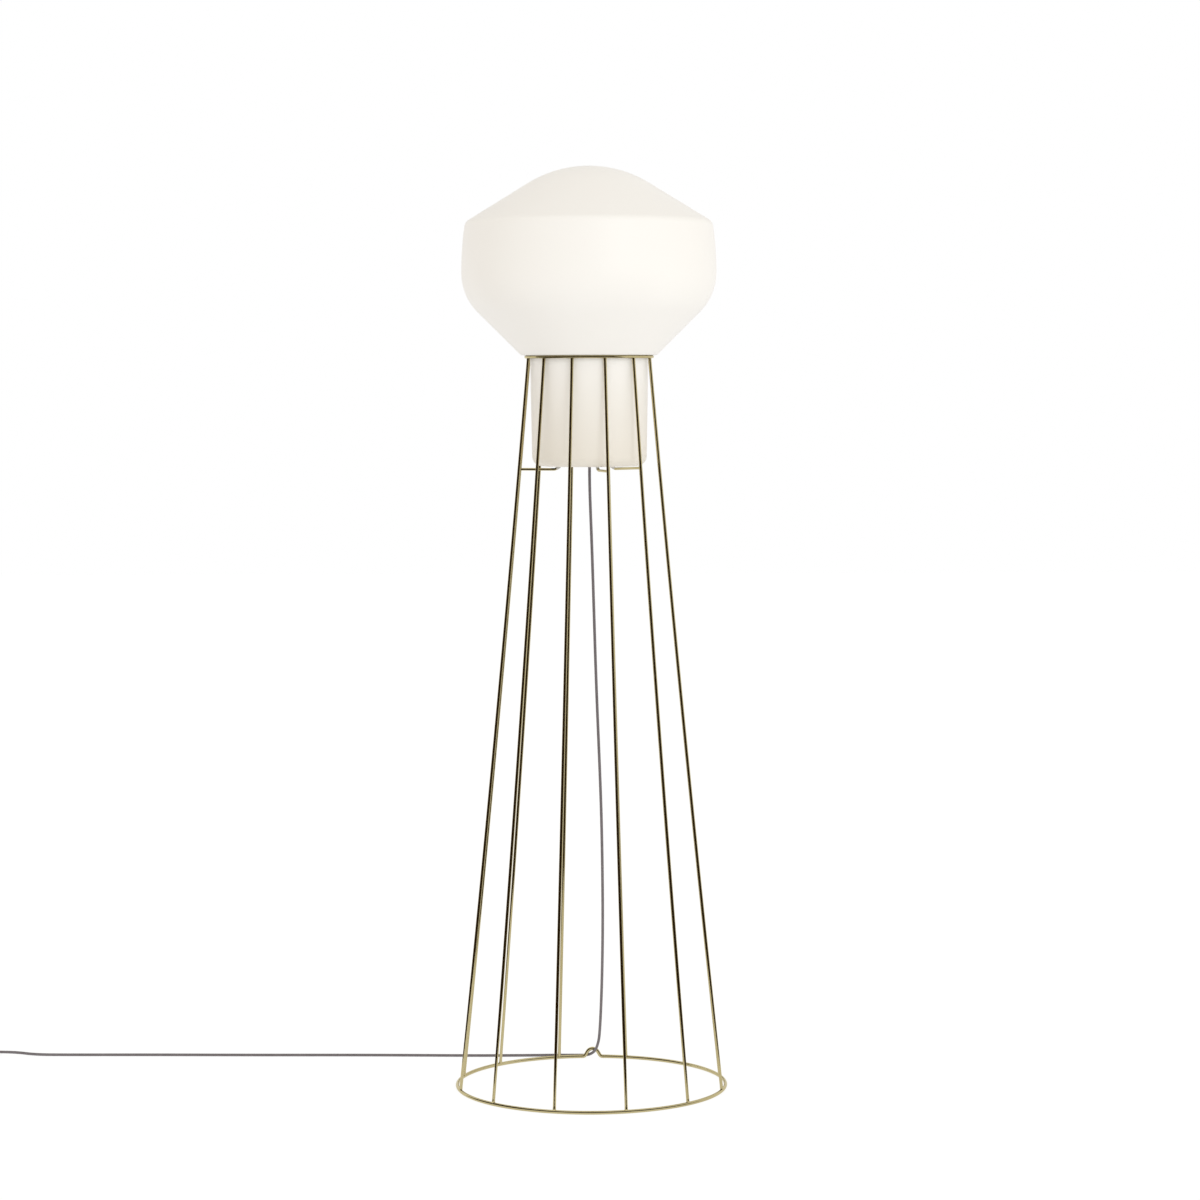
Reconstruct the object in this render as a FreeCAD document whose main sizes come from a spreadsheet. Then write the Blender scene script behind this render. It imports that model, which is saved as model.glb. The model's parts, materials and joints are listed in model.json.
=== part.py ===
import FreeCAD, Part
import math
import os

import Sketcher
from FreeCAD import Placement, Rotation, Vector

# A wire cage floor lamp in millimetres. +Z is up, the front is -Y, and the origin is on
# the floor, on the axis of the cage.

doc = FreeCAD.newDocument("wire_cage_floor_lamp")

# ---------------------------------------------------------------- driving dimensions

DIMENSIONS = {
    # cage of welded wire
    "base_ring_radius": 185.0,
    "base_wire_radius": 2.5,
    "arch_rise": 11.3,
    "arch_foot_half": 11.5,
    "arch_top_half": 5.0,
    "arch_foot_bend": 5.0,
    "top_ring_radius": 86.5,
    "top_ring_height": 1004.0,
    "top_wire_radius": 2.0,
    "upright_count": 12,
    "upright_wire_radius": 2.1,
    "upright_top_radius": 85.0,
    "upright_first_angle": 15.0,
    "upright_bow": 2.6,
    "upright_end": 20.0,
    "hook_height": 850.7,
    "hook_wire_radius": 1.8,
    "hook_bend_at": 49.0,
    "hook_tip_at": 43.0,
    "hook_tip_rise": 3.5,
    "hook_bend_radius": 6.0,
    "cap_length": 5.0,
    "cap_wall": 0.5,
    # opal glass shade: the corners, rounds and arcs of its outline, and its thickness
    "glass": 3.0,
    "dome_top": 1262.7,
    "dome_radius": 158.0,
    "dome_edge_radius": 82.8,
    "shoulder_radius": 168.4,
    "shoulder_height": 1186.6,
    "shoulder_round": 12.0,
    "belly_top_radius": 169.4,
    "belly_top": 1178.0,
    "belly_side_radius": 439.0,
    "belly_radius": 173.5,
    "belly_height": 1118.0,
    "belly_foot_round": 75.0,
    "belly_foot_radius": 151.5,
    "belly_foot": 1065.0,
    "ledge_radius": 92.6,
    "ledge_height": 1006.3,
    "ledge_round": 5.5,
    "neck_top_radius": 80.6,
    "neck_top_round": 1.8,
    "neck_foot_radius": 78.0,
    "neck_foot": 855.7,
    "neck_foot_round": 13.5,
    "mouth_radius": 54.0,
    # light unit
    "carrier_radius": 50.0,
    "carrier_sheet": 1.2,
    "carrier_foot": 856.55,
    "carrier_rise": 17.2,
    "carrier_flange_inner": 34.0,
    "carrier_top_radius": 28.0,
    "stem_radius": 5.0,
    "stem_bore": 3.5,
    "stem_foot": 862.0,
    "stem_top": 1005.0,
    "nut_flats": 14.0,
    "nut_height": 4.0,
    "washer_radius": 9.0,
    "washer_height": 1.0,
    "grip_radius": 8.0,
    "grip_foot": 857.0,
    "grip_height": 11.0,
    "holder_foot": 999.0,
    "holder_radius": 20.5,
    "holder_wall": 2.0,
    "holder_split": 1023.0,
    "holder_rim": 1062.0,
    "holder_neck_radius": 9.0,
    "holder_mouth": 14.6,
    "insert_foot": 1024.0,
    "insert_height": 8.0,
    "insert_radius": 18.2,
    "sleeve_bore": 13.45,
    "sleeve_wall": 0.45,
    "sleeve_foot": 1036.0,
    "sleeve_top": 1059.0,
    # light bulb
    "bulb_cap_foot": 1040.5,
    "bulb_cap_top": 1063.5,
    "bulb_thread_radius": 13.1,
    "bulb_thread_root": 12.3,
    "bulb_thread_pitch": 3.629,
    "bulb_radius": 30.0,
    "bulb_shoulder": 1090.0,
    "bulb_top": 1151.0,
    # cord and what is on it
    "cord_radius": 2.0,
    "coil_x": -932.0,
    "coil_y": 126.0,
    "coil_low": 2.8,
    "coil_gap": 4.6,
    "coil_inner": 15.95,
    "coil_turns": 6.5,
    "switch_x": -922.0,
    "switch_y": 205.0,
    "switch_length": 76.0,
    "switch_width": 36.0,
    "switch_base_height": 9.0,
    "switch_height": 22.0,
    "switch_wall": 2.0,
    "button_radius": 11.0,
    "button_travel": 3.0,
    "relief_length": 22.0,
    "plug_x": -1016.0,
    "plug_y": 95.1,
    "plug_height": 13.7,
    "plug_width": 35.3,
    "plug_length": 32.0,
    "pin_radius": 2.0,
    "pin_spacing": 18.6,
    "pin_length": 19.0,
    "pin_sleeve_length": 10.0,
    "pin_sleeve_radius": 1.8,
}

sheet = doc.addObject("Spreadsheet::Sheet", "sizes")
for row, (alias, value) in enumerate(DIMENSIONS.items(), start=1):
    sheet.set(f"A{row}", alias)
    sheet.set(f"B{row}", str(value))
    sheet.setAlias(f"B{row}", alias)
doc.recompute()

subparts = []


def size(expression):
    """The number that an expression of cell names gives, or the number itself."""
    if isinstance(expression, (int, float)):
        return float(expression)
    return float(sheet.evalExpression(expression))


def cells(expression):
    """The same expression as another object of the document has to write it."""
    text = expression
    for alias in sorted(DIMENSIONS, key=len, reverse=True):
        text = text.replace(alias, "sizes.@" + alias[::-1])
    for alias in DIMENSIONS:
        text = text.replace("@" + alias[::-1], alias)
    return text


def bind(thing, prop, expression):
    """Set a property from an expression of cell names, and keep it bound to them."""
    if isinstance(expression, str):
        thing.setExpression(prop, cells(expression))
    else:
        setattr(thing, prop, expression)


def keep(thing, label):
    """Give a finished sub-part its label and list it."""
    thing.Label = label
    subparts.append(thing)
    return thing


# ---------------------------------------------------------------- shapes made often

PLANES = {"floor": "XY_Plane", "front": "XZ_Plane", "side": "YZ_Plane"}


def plane_of(body, role):
    return next(f for f in body.Origin.OriginFeatures if f.Role == PLANES[role])


def sketch_on(body, role, name):
    sketch = body.newObject("Sketcher::SketchObject", name)
    sketch.AttachmentSupport = [(plane_of(body, role), "")]
    sketch.MapMode = "FlatFace"
    return sketch


def unit(a, b):
    return (b - a).normalize() if (b - a).Length > 0 else Vector()


def bound_point(sketch, geometry, vertex, across, up):
    """Tie a sketch point to its two coordinates, each a number or a cell expression."""
    for kind, axis, value in (("DistanceX", -2, across), ("DistanceY", -1, up)):
        number = size(value)
        if abs(number) < 1e-9:
            sketch.addConstraint(Sketcher.Constraint("PointOnObject", geometry, vertex, axis))
            continue
        n = sketch.addConstraint(Sketcher.Constraint(kind, -1, 1, geometry, vertex, number))
        if isinstance(value, str):
            sketch.setExpression(f"Constraints[{n}]", cells(value))


def bulge_middle(a, b, radius):
    """The middle of the arc from a to b, which bulges to the left where radius is positive."""
    half, along = (b - a).Length / 2, unit(a, b)
    depth = abs(radius) - math.sqrt(radius**2 - half**2)
    left = Vector(-along.y, along.x, 0) * math.copysign(depth, radius)
    return (a + b) * 0.5 + left


def outline(sketch, corners):
    """Draw a closed outline through corners (across, up[, round[, bulge]]).

    A corner with a round has an arc of that radius, tangent to its two straight sides.
    A corner with a bulge starts an arc of that radius, up to the next corner. The centre
    of an arc that starts or ends on the vertical axis is on the axis too.
    """
    count = len(corners)
    points = [Vector(size(c[0]), size(c[1]), 0) for c in corners]
    rounds = [size(c[2]) if len(c) > 2 else 0.0 for c in corners]
    ways = [unit(points[i], points[(i + 1) % count]) for i in range(count)]
    trims = [
        radius / math.tan((ways[i - 1] * -1).getAngle(ways[i]) / 2) if radius else 0.0
        for i, radius in enumerate(rounds)
    ]

    def drawn(start, middle, end):
        """Add an arc, counterclockwise as a sketch keeps it, and name its two ends."""
        onward = (middle - start).cross(end - middle).z > 0
        curve = Part.Arc(start, middle, end) if onward else Part.Arc(end, middle, start)
        number = sketch.addGeometry(curve, False)
        return (number, 1, 2) if onward else (number, 2, 1)

    def radius_of(arc, value):
        n = sketch.addConstraint(Sketcher.Constraint("Radius", arc, abs(size(value))))
        if isinstance(value, str):
            sketch.setExpression(f"Constraints[{n}]", cells(f"abs({value})"))

    def tied(place, radius, share):
        """A coordinate of an arc's end: its corner's, and a share of the arc's radius."""
        if isinstance(place, str) or isinstance(radius, str):
            return f"{place} + {share:.7f} * ({radius})"
        return place + share * radius

    sides = []
    for i, corner in enumerate(corners):
        a, b = points[i], points[(i + 1) % count]
        if len(corner) > 3:
            sides.append(drawn(a, bulge_middle(a, b, size(corner[3])), b))
            arc = sides[-1][0]
            if min(abs(a.x), abs(b.x)) < 1e-9:
                sketch.addConstraint(Sketcher.Constraint("PointOnObject", arc, 3, -2))
            else:
                radius_of(arc, corner[3])
            continue
        start, end = a + ways[i] * trims[i], b - ways[i] * trims[(i + 1) % count]
        sides.append((sketch.addGeometry(Part.LineSegment(start, end), False), 1, 2))
    for i, corner in enumerate(corners):
        (side_in, _, last), (side_out, first, _) = sides[i - 1], sides[i]
        if not rounds[i]:
            sketch.addConstraint(Sketcher.Constraint("Coincident", side_in, last, side_out, first))
            bound_point(sketch, side_out, first, corner[0], corner[1])
            continue
        start, end = points[i] - ways[i - 1] * trims[i], points[i] + ways[i] * trims[i]
        inward = (ways[i] - ways[i - 1]).normalize()
        middle = points[i] + inward * (math.hypot(trims[i], rounds[i]) - rounds[i])
        arc, arc_first, arc_last = drawn(start, middle, end)
        radius_of(arc, corner[2])
        for side, vertex, arc_vertex, place in (
            (side_in, last, arc_first, start),
            (side_out, first, arc_last, end),
        ):
            share = (place - points[i]) / rounds[i]
            sketch.addConstraint(Sketcher.Constraint("Coincident", side, vertex, arc, arc_vertex))
            across = tied(corner[0], corner[2], share.x)
            bound_point(sketch, side, vertex, across, tied(corner[1], corner[2], share.y))


def turned(label, corners, at=Vector()):
    """A piece turned on a lathe: an outline of (radius, height) swung about the Z axis."""
    body = doc.addObject("PartDesign::Body", label + "_turned")
    sketch = sketch_on(body, "front", label + "_profile")
    outline(sketch, corners)
    turn = body.newObject("PartDesign::Revolution", label + "_turn")
    turn.Profile = sketch
    turn.ReferenceAxis = (sketch, ["V_Axis"])
    turn.Angle = 360
    sketch.Visibility = False
    body.Placement = Placement(at, Rotation())
    return keep(body, label)


def block(body, name, corners, height, foot=0.0, cut=False):
    """Raise or cut a prism on an outline of (x, y) corners, between two heights."""
    sketch = sketch_on(body, "floor", name + "_outline")
    sketch.AttachmentOffset = Placement(Vector(0, 0, size(foot)), Rotation())
    if isinstance(foot, str):
        sketch.setExpression("AttachmentOffset.Base.z", cells(foot))
    outline(sketch, corners)
    feature = body.newObject("PartDesign::Pocket" if cut else "PartDesign::Pad", name)
    feature.Profile = sketch
    bind(feature, "Length", height)
    feature.Reversed = bool(cut)
    sketch.Visibility = False
    return feature


def rectangle(length, width, radius, x="0", y="0"):
    """The corners of a rounded rectangle about (x, y), as cell expressions."""
    signs = ((-1, -1), (1, -1), (1, 1), (-1, 1))
    return [
        (f"{x} + {sx} * ({length}) / 2", f"{y} + {sy} * ({width}) / 2", radius) for sx, sy in signs
    ]


def cylinder(name, radius, height, foot=0.0, x=0.0, y=0.0):
    """An upright round bar whose radius, height and place are bound to the sheet."""
    bar = doc.addObject("Part::Cylinder", name)
    bind(bar, "Radius", radius)
    bind(bar, "Height", height)
    bar.Placement = Placement(Vector(size(x), size(y), size(foot)), Rotation())
    for axis, value in (("x", x), ("y", y), ("z", foot)):
        if isinstance(value, str):
            bar.setExpression(f"Placement.Base.{axis}", cells(value))
    return bar


def cut(label, base, *tools):
    """Take tools away from a base, one after the other, and keep what is left."""
    for n, tool in enumerate(tools):
        result = doc.addObject("Part::Cut", f"{label}_cut_{n}")
        result.Base = base
        result.Tool = tool
        base = result
    return base


def joined(name, *things):
    group = doc.addObject("Part::MultiFuse", name)
    group.Shapes = list(things)
    return group


def tube(label, radius, bore, height, foot, x=0.0, y=0.0):
    """A round tube standing on its end."""
    outer = cylinder(label + "_outer", radius, height, foot, x, y)
    inner = cylinder(label + "_bore", bore, height, foot, x, y)
    return keep(cut(label, outer, inner), label)


def feature(label, shape):
    """A sub-part whose shape is set outright, for wire and cord that follow a path."""
    thing = doc.addObject("Part::Feature", label + "_shape")
    thing.Shape = shape
    return keep(thing, label)


def round_pipe(path, radius):
    """A round bar along a wire of lines and tangent arcs."""
    start = path.OrderedEdges[0]
    first, heading = start.valueAt(start.FirstParameter), start.tangentAt(start.FirstParameter)
    if start.Orientation == "Reversed":
        first, heading = start.valueAt(start.LastParameter), start.tangentAt(start.LastParameter) * -1
    section = Part.Wire([Part.makeCircle(radius, first, heading)])
    solid = path.makePipeShell([section], True, False)
    expected = math.pi * radius**2 * path.Length
    if abs(solid.Volume / expected - 1) > 0.01:
        raise RuntimeError(f"pipe volume {solid.Volume:.1f} isn't {expected:.1f}")
    return solid


def arc_from(start, heading, end):
    """The arc that leaves start along heading and arrives at end."""
    chord = end - start
    side = chord - heading * chord.dot(heading)
    if side.Length < 1e-7 * chord.Length:
        return Part.LineSegment(start, end).toShape()
    side.normalize()
    radius = chord.dot(chord) / (2 * chord.dot(side))
    centre = start + side * radius
    to_middle = (start + end) * 0.5 - centre
    direction = to_middle.normalize()
    if heading.dot(chord) < 0:
        direction = direction * -1
    return Part.Arc(start, centre + direction * radius, end).toShape()


def biarc(start, heading, end, arrival):
    """Two tangent arcs from start along heading to end along arrival."""
    gap, both = end - start, heading + arrival
    square = 2 * (1 - heading.dot(arrival))
    if square < 1e-9:
        reach = gap.dot(gap) / (2 * gap.dot(both)) if abs(gap.dot(both)) > 1e-9 else 0.0
    else:
        reach = (-gap.dot(both) + math.sqrt(gap.dot(both) ** 2 + square * gap.dot(gap))) / square
    middle = (start + end + (heading - arrival) * reach) * 0.5
    first = arc_from(start, heading, middle)
    back = arc_from(end, arrival * -1, middle)
    second = Part.Edge(back.Curve.copy(), back.FirstParameter, back.LastParameter)
    return [first, second]


# ---------------------------------------------------------------- the cage


def made_base_ring():
    """The floor ring, with a small arch bent up at the back for the cord."""
    ring, wire = size("base_ring_radius"), size("base_wire_radius")
    foot, top = size("arch_foot_half"), size("arch_top_half")
    rise = size("arch_rise")
    lean = math.atan2(rise, foot - top)
    foot_trim = size("arch_foot_bend") * math.tan(lean / 2)
    reach = foot + foot_trim
    plane = math.sqrt(ring**2 - reach**2)
    opening = math.asin(reach / ring)

    def on_arch(across, up):
        return Vector(across, plane, wire + up)

    right_start = on_arch(reach, 0)
    left_end = on_arch(-reach, 0)
    climb = Vector(-math.cos(lean), 0, math.sin(lean))
    descend = Vector(-math.cos(lean), 0, -math.sin(lean))
    into_arch = Vector(-math.cos(opening), math.sin(opening), 0)
    out_of_arch = Vector(-math.cos(opening), -math.sin(opening), 0)
    right_foot = on_arch(foot, 0) + climb * foot_trim
    left_foot = on_arch(-foot, 0) - descend * foot_trim
    right_top = on_arch(top, rise) - climb * top
    left_top = on_arch(-top, rise) + descend * top
    edges = biarc(right_start, into_arch, right_foot, climb)
    edges.append(Part.LineSegment(right_foot, right_top).toShape())
    edges.append(Part.Arc(right_top, on_arch(0, rise), left_top).toShape())
    edges.append(Part.LineSegment(left_top, left_foot).toShape())
    edges += biarc(left_foot, descend, left_end, out_of_arch)
    arch = round_pipe(Part.Wire(Part.__sortEdges__(edges)), wire)
    section = Part.Face(Part.Wire([Part.makeCircle(wire, left_end, out_of_arch)]))
    sweep = 360 - 2 * math.degrees(opening)
    loop = section.revolve(Vector(0, 0, wire), Vector(0, 0, 1), sweep)
    return feature("base_ring", loop.fuse(arch).removeSplitter())


base_ring = made_base_ring()

top_ring = doc.addObject("Part::Torus", "top_ring_torus")
bind(top_ring, "Radius1", "top_ring_radius")
bind(top_ring, "Radius2", "top_wire_radius")
top_ring.setExpression("Placement.Base.z", cells("top_ring_height"))
keep(top_ring, "top_ring")


def upright_path(angle):
    """The path of the upright at an angle from the front: an arc with two straight ends.

    It is bowed towards the axis, and a straight end slants by the bow over its reach.
    """
    across = Vector(math.sin(angle), -math.cos(angle), 0)
    foot = across * size("base_ring_radius") + Vector(0, 0, size("base_wire_radius"))
    head = across * size("upright_top_radius") + Vector(0, 0, size("top_ring_height + 0.5"))
    along, half, end = unit(foot, head), (head - foot).Length / 2, size("upright_end")
    inward = (along * across.dot(along) - across).normalize()
    slant = size("upright_bow") / (end + (half - end) / 2)
    leave = along * math.cos(slant) + inward * math.sin(slant)
    arrive = along * math.cos(slant) - inward * math.sin(slant)
    low, high = foot + leave * end, head - arrive * end
    edges = [Part.LineSegment(foot, low).toShape(), arc_from(low, leave, high)]
    return edges + [Part.LineSegment(high, head).toShape()]


def made_upright(number, angle):
    """One bowed wire, its ends shaped to the two rings that it is welded to."""
    wire = doc.addObject("Part::Feature", f"upright_wire_{number:02d}")
    wire.Shape = round_pipe(Part.Wire(upright_path(angle)), size("upright_wire_radius"))
    label = f"upright_{number:02d}"
    keep(cut(label, wire, base_ring, top_ring), label)
    return wire


upright_wires = {}
upright_step = 360 / size("upright_count")
for number in range(int(size("upright_count"))):
    degrees_round = size("upright_first_angle") + number * upright_step
    upright_wires[number + 1] = made_upright(number + 1, math.radians(degrees_round))

HOOKED_UPRIGHTS = (1, 5, 9)


def made_hook(place, number):
    """A wire hook welded to an upright, its upturned tip in a clear cap."""
    degrees_round = size("upright_first_angle") + (number - 1) * upright_step
    angle = math.radians(degrees_round)
    across = Vector(math.sin(angle), -math.cos(angle), 0)
    circle = upright_path(angle)[1].Curve
    above = size("hook_height") - circle.Center.z
    weld_at = circle.Center.dot(across) - math.sqrt(circle.Radius**2 - above**2)
    weld = across * weld_at + Vector(0, 0, size("hook_height"))
    bend = across * size("hook_bend_at") + Vector(0, 0, size("hook_height"))
    tip = across * size("hook_tip_at") + Vector(0, 0, size("hook_height + hook_tip_rise"))
    run_in, run_up = unit(weld, bend), unit(bend, tip)
    trim = size("hook_bend_radius") * math.tan(run_in.getAngle(run_up) / 2)
    before, after = bend - run_in * trim, bend + run_up * trim
    edges = [
        Part.LineSegment(weld, before).toShape(),
        arc_from(before, run_in, after),
        Part.LineSegment(after, tip).toShape(),
    ]
    wire = doc.addObject("Part::Feature", f"hook_wire_{place}")
    wire.Shape = round_pipe(Part.Wire(edges), size("hook_wire_radius"))
    keep(cut(f"hook_{place}", wire, upright_wires[number]), f"support_hook_{place}")
    radius = size("hook_wire_radius + cap_wall")
    mouth = tip - run_up * size("cap_length - 1")
    shell = Part.makeCylinder(radius, (tip - mouth).Length, mouth, run_up)
    return shell.fuse(Part.makeSphere(radius, tip)).removeSplitter().cut(wire.Shape)


hook_caps = [made_hook(place + 1, number) for place, number in enumerate(HOOKED_UPRIGHTS)]
feature("hook_tip_caps", Part.makeCompound(hook_caps))

# ---------------------------------------------------------------- the opal glass shade


# The dome is part of a ball whose centre is on the axis, and so is its inner face.
DOME_EDGE_HEIGHT = "dome_top - dome_radius + sqrt(dome_radius ^ 2 - dome_edge_radius ^ 2)"
DOME_INNER_EDGE = "dome_edge_radius * (dome_radius - glass) / dome_radius"
DOME_INNER_HEIGHT = (
    "dome_top - dome_radius"
    " + sqrt(dome_radius ^ 2 - dome_edge_radius ^ 2) * (dome_radius - glass) / dome_radius"
)
turned(
    "shade_glass",
    [
        (0.0, "dome_top", 0.0, "dome_radius"),
        ("dome_edge_radius", DOME_EDGE_HEIGHT),
        ("shoulder_radius", "shoulder_height", "shoulder_round"),
        ("belly_top_radius", "belly_top", 0.0, "belly_side_radius"),
        ("belly_radius", "belly_height", 0.0, "belly_foot_round"),
        ("belly_foot_radius", "belly_foot"),
        ("ledge_radius", "ledge_height", "ledge_round"),
        ("neck_top_radius", "ledge_height", "neck_top_round"),
        ("neck_foot_radius", "neck_foot", "neck_foot_round"),
        ("mouth_radius", "neck_foot", 1.2),
        ("mouth_radius", "neck_foot + glass", 1.2),
        ("neck_foot_radius - glass", "neck_foot + glass", "neck_foot_round - glass"),
        ("neck_top_radius - glass", "ledge_height + glass", "neck_top_round + glass"),
        ("ledge_radius - 0.41 * glass", "ledge_height + glass", "ledge_round - glass"),
        (
            "belly_foot_radius - 0.707 * glass",
            "belly_foot + 0.707 * glass",
            0.0,
            "glass - belly_foot_round",
        ),
        ("belly_radius - glass", "belly_height", 0.0, "glass - belly_side_radius"),
        ("belly_top_radius - 0.99 * glass", "belly_top - 0.14 * glass"),
        (
            "shoulder_radius - 0.94 * glass",
            "shoulder_height - 0.62 * glass",
            "shoulder_round - glass",
        ),
        (DOME_INNER_EDGE, DOME_INNER_HEIGHT, 0.0, "glass - dome_radius"),
        (0.0, "dome_top - glass"),
    ],
)

# ---------------------------------------------------------------- the light unit

turned(
    "carrier_plate",
    [
        ("carrier_flange_inner", "carrier_foot", 1.0),
        ("carrier_radius", "carrier_foot"),
        ("carrier_radius", "carrier_foot + carrier_sheet"),
        ("carrier_flange_inner + 1", "carrier_foot + carrier_sheet", 2.0),
        ("carrier_top_radius + 1", "carrier_foot + carrier_rise", 2.5),
        ("stem_radius + 0.1", "carrier_foot + carrier_rise"),
        ("stem_radius + 0.1", "carrier_foot + carrier_rise - carrier_sheet"),
        ("carrier_top_radius", "carrier_foot + carrier_rise - carrier_sheet", 1.3),
    ],
)
tube("stem_tube", "stem_radius", "stem_bore", "stem_top - stem_foot", "stem_foot")


def made_nut(label, foot):
    """A hexagon nut on the stem."""
    prism = doc.addObject("Part::Prism", label + "_hexagon")
    prism.Polygon = 6
    bind(prism, "Circumradius", "nut_flats / 2 / cos(30)")
    bind(prism, "Height", "nut_height")
    prism.setExpression("Placement.Base.z", cells(foot))
    hole = cylinder(label + "_hole", "stem_radius", "nut_height", foot)
    keep(cut(label, prism, hole), label)


CARRIER_TOP = "carrier_foot + carrier_rise"
made_nut("stem_nut_lower", CARRIER_TOP + " - carrier_sheet - nut_height")
tube("lock_washer", "washer_radius", "stem_radius + 0.1", "washer_height", CARRIER_TOP)
made_nut("stem_nut_upper", CARRIER_TOP + " + washer_height")

grip_block = cylinder("grip_block", "grip_radius", "grip_height", "grip_foot")
grip_socket = cylinder("grip_socket", "stem_radius", "grip_foot + grip_height - stem_foot", "stem_foot")
grip_bore = cylinder("grip_bore", "cord_radius + 0.05", "stem_foot - grip_foot", "grip_foot")
grip_screw_height = size("(grip_foot + stem_foot) / 2")


def side_screw(label, radius, inner, outer, height):
    """A screw that points at the Z axis from the front."""
    start = Vector(0, -outer, height)
    shank = Part.makeCylinder(radius, outer - inner, start, Vector(0, 1, 0))
    head = Part.makeCylinder(radius * 1.7, 1.6, start - Vector(0, 1.6, 0), Vector(0, 1, 0))
    slot = Part.makeBox(radius * 3.6, 0.8, 0.7, start - Vector(radius * 1.8, 1.6, 0.35))
    return feature(label, shank.fuse(head).removeSplitter().cut(slot))


grip_screw = side_screw(
    "grip_screw", 1.5, size("cord_radius"), size("grip_radius"), grip_screw_height
)
keep(cut("cord_grip", grip_block, grip_socket, grip_bore, grip_screw), "cord_grip")

holder_screw = side_screw(
    "holder_set_screw", 1.3, size("stem_radius"), size("holder_neck_radius"), size("holder_foot + 3")
)
holder_cap_turned = turned(
    "holder_cap_turned",
    [
        ("stem_radius + 0.05", "holder_foot"),
        ("holder_neck_radius", "holder_foot", 0.8),
        ("holder_neck_radius", "holder_foot + 7", 1.5),
        ("holder_radius", "holder_foot + 14", 4.0),
        ("holder_radius", "holder_split"),
        ("holder_radius - holder_wall", "holder_split"),
        ("holder_radius - holder_wall", "holder_foot + 15.5", 2.5),
        ("holder_neck_radius - 1", "holder_foot + 9"),
        ("stem_radius + 0.05", "holder_foot + 9"),
    ],
)
subparts.remove(holder_cap_turned)
keep(cut("holder_cap", holder_cap_turned, holder_screw), "holder_cap")
turned(
    "holder_shell",
    [
        ("insert_radius + 0.3", "holder_split"),
        ("holder_radius", "holder_split"),
        ("holder_radius", "holder_rim - 8", 3.0),
        ("holder_radius - 2.5", "holder_rim - 6", 2.0),
        ("holder_radius - 2.5", "holder_rim", 1.5),
        ("holder_mouth", "holder_rim", 0.8),
        ("holder_mouth", "insert_foot + insert_height + 2"),
        ("insert_radius + 0.3", "insert_foot + insert_height + 2"),
    ],
)

insert_disc = cylinder("insert_disc", "insert_radius", "insert_height", "insert_foot")
INSERT_TOP_CELL = "insert_foot + insert_height"
insert_collar = cylinder("insert_collar", "sleeve_bore + sleeve_wall", 4, INSERT_TOP_CELL)
insert_well = cylinder("insert_well", "sleeve_bore - 2.5", 4, INSERT_TOP_CELL)
insert_ring = cut("insert_ring", insert_collar, insert_well)
TERMINAL_OFFSET = 9.0
terminal_holes = [
    cylinder(f"terminal_hole_{n}", 1.75, 5, "insert_foot", side * TERMINAL_OFFSET)
    for n, side in enumerate((-1, 1))
]
keep(
    cut("insert", joined("insert_body", insert_disc, insert_ring), *terminal_holes),
    "holder_insert",
)

terminals = []
for side in (-1, 1):
    foot = Vector(side * TERMINAL_OFFSET, 0, size("insert_foot - 4"))
    shank = Part.makeCylinder(1.7, 7, foot + Vector(0, 0, 2))
    head = Part.makeCylinder(3.0, 2, foot)
    slot = Part.makeBox(6.4, 0.8, 0.8, foot - Vector(3.2, 0.4, 0))
    terminals.append(shank.fuse(head).removeSplitter().cut(slot))
feature("terminal_screws", Part.makeCompound(terminals))

tube(
    "thread_sleeve",
    "sleeve_bore + sleeve_wall",
    "sleeve_bore",
    "sleeve_top - sleeve_foot",
    "sleeve_foot",
)


def strip(label, corners, width, thickness):
    """A bent strip of spring sheet: a path in the XZ plane, thickened and given a width."""
    points = [Vector(x, -width / 2, z) for x, z in corners]
    ways = [unit(a, b) for a, b in zip(points, points[1:], strict=False)]
    shifts = []
    for before, after in zip(ways[:1] + ways, ways + ways[-1:], strict=True):
        left, left_after = Vector(-before.z, 0, before.x), Vector(-after.z, 0, after.x)
        shifts.append((left + left_after) * (thickness / 2 / (1 + left.dot(left_after))))
    above = [point + shift for point, shift in zip(points, shifts, strict=True)]
    below = [point - shift for point, shift in zip(points, shifts, strict=True)]
    loop = Part.makePolygon(above + below[::-1] + above[:1])
    return feature(label, Part.Face(loop).extrude(Vector(0, width, 0)))


INSERT_TOP = size(INSERT_TOP_CELL)
STRIP_THICKNESS = 0.4
strip(
    "centre_contact",
    [
        (-8.0, INSERT_TOP + 0.25),
        (-3.5, INSERT_TOP + 0.25),
        (-0.5, INSERT_TOP + 5.1),
        (2.0, INSERT_TOP + 5.1),
    ],
    5.0,
    STRIP_THICKNESS,
)
strip(
    "side_contact",
    [(6.5, INSERT_TOP + 0.25), (10.4, INSERT_TOP + 0.25), (10.4, INSERT_TOP + 3.9)],
    4.0,
    STRIP_THICKNESS,
)

# ---------------------------------------------------------------- the light bulb


def thread_outline():
    """Rounded ridges down the side of the bulb's cap, one to each turn of its thread."""
    corners = []
    pitch = size("bulb_thread_pitch")
    for turn in range(5):
        crest = f"bulb_cap_foot + {3.2 + turn * pitch}"
        corners.append(("bulb_thread_root", crest + f" - {pitch * 0.42}", 0.6))
        corners.append(("bulb_thread_radius", crest + " - 0.55", 0.6))
        corners.append(("bulb_thread_radius", crest + " + 0.55", 0.6))
        corners.append(("bulb_thread_root", crest + f" + {pitch * 0.42}", 0.6))
    return corners


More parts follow.
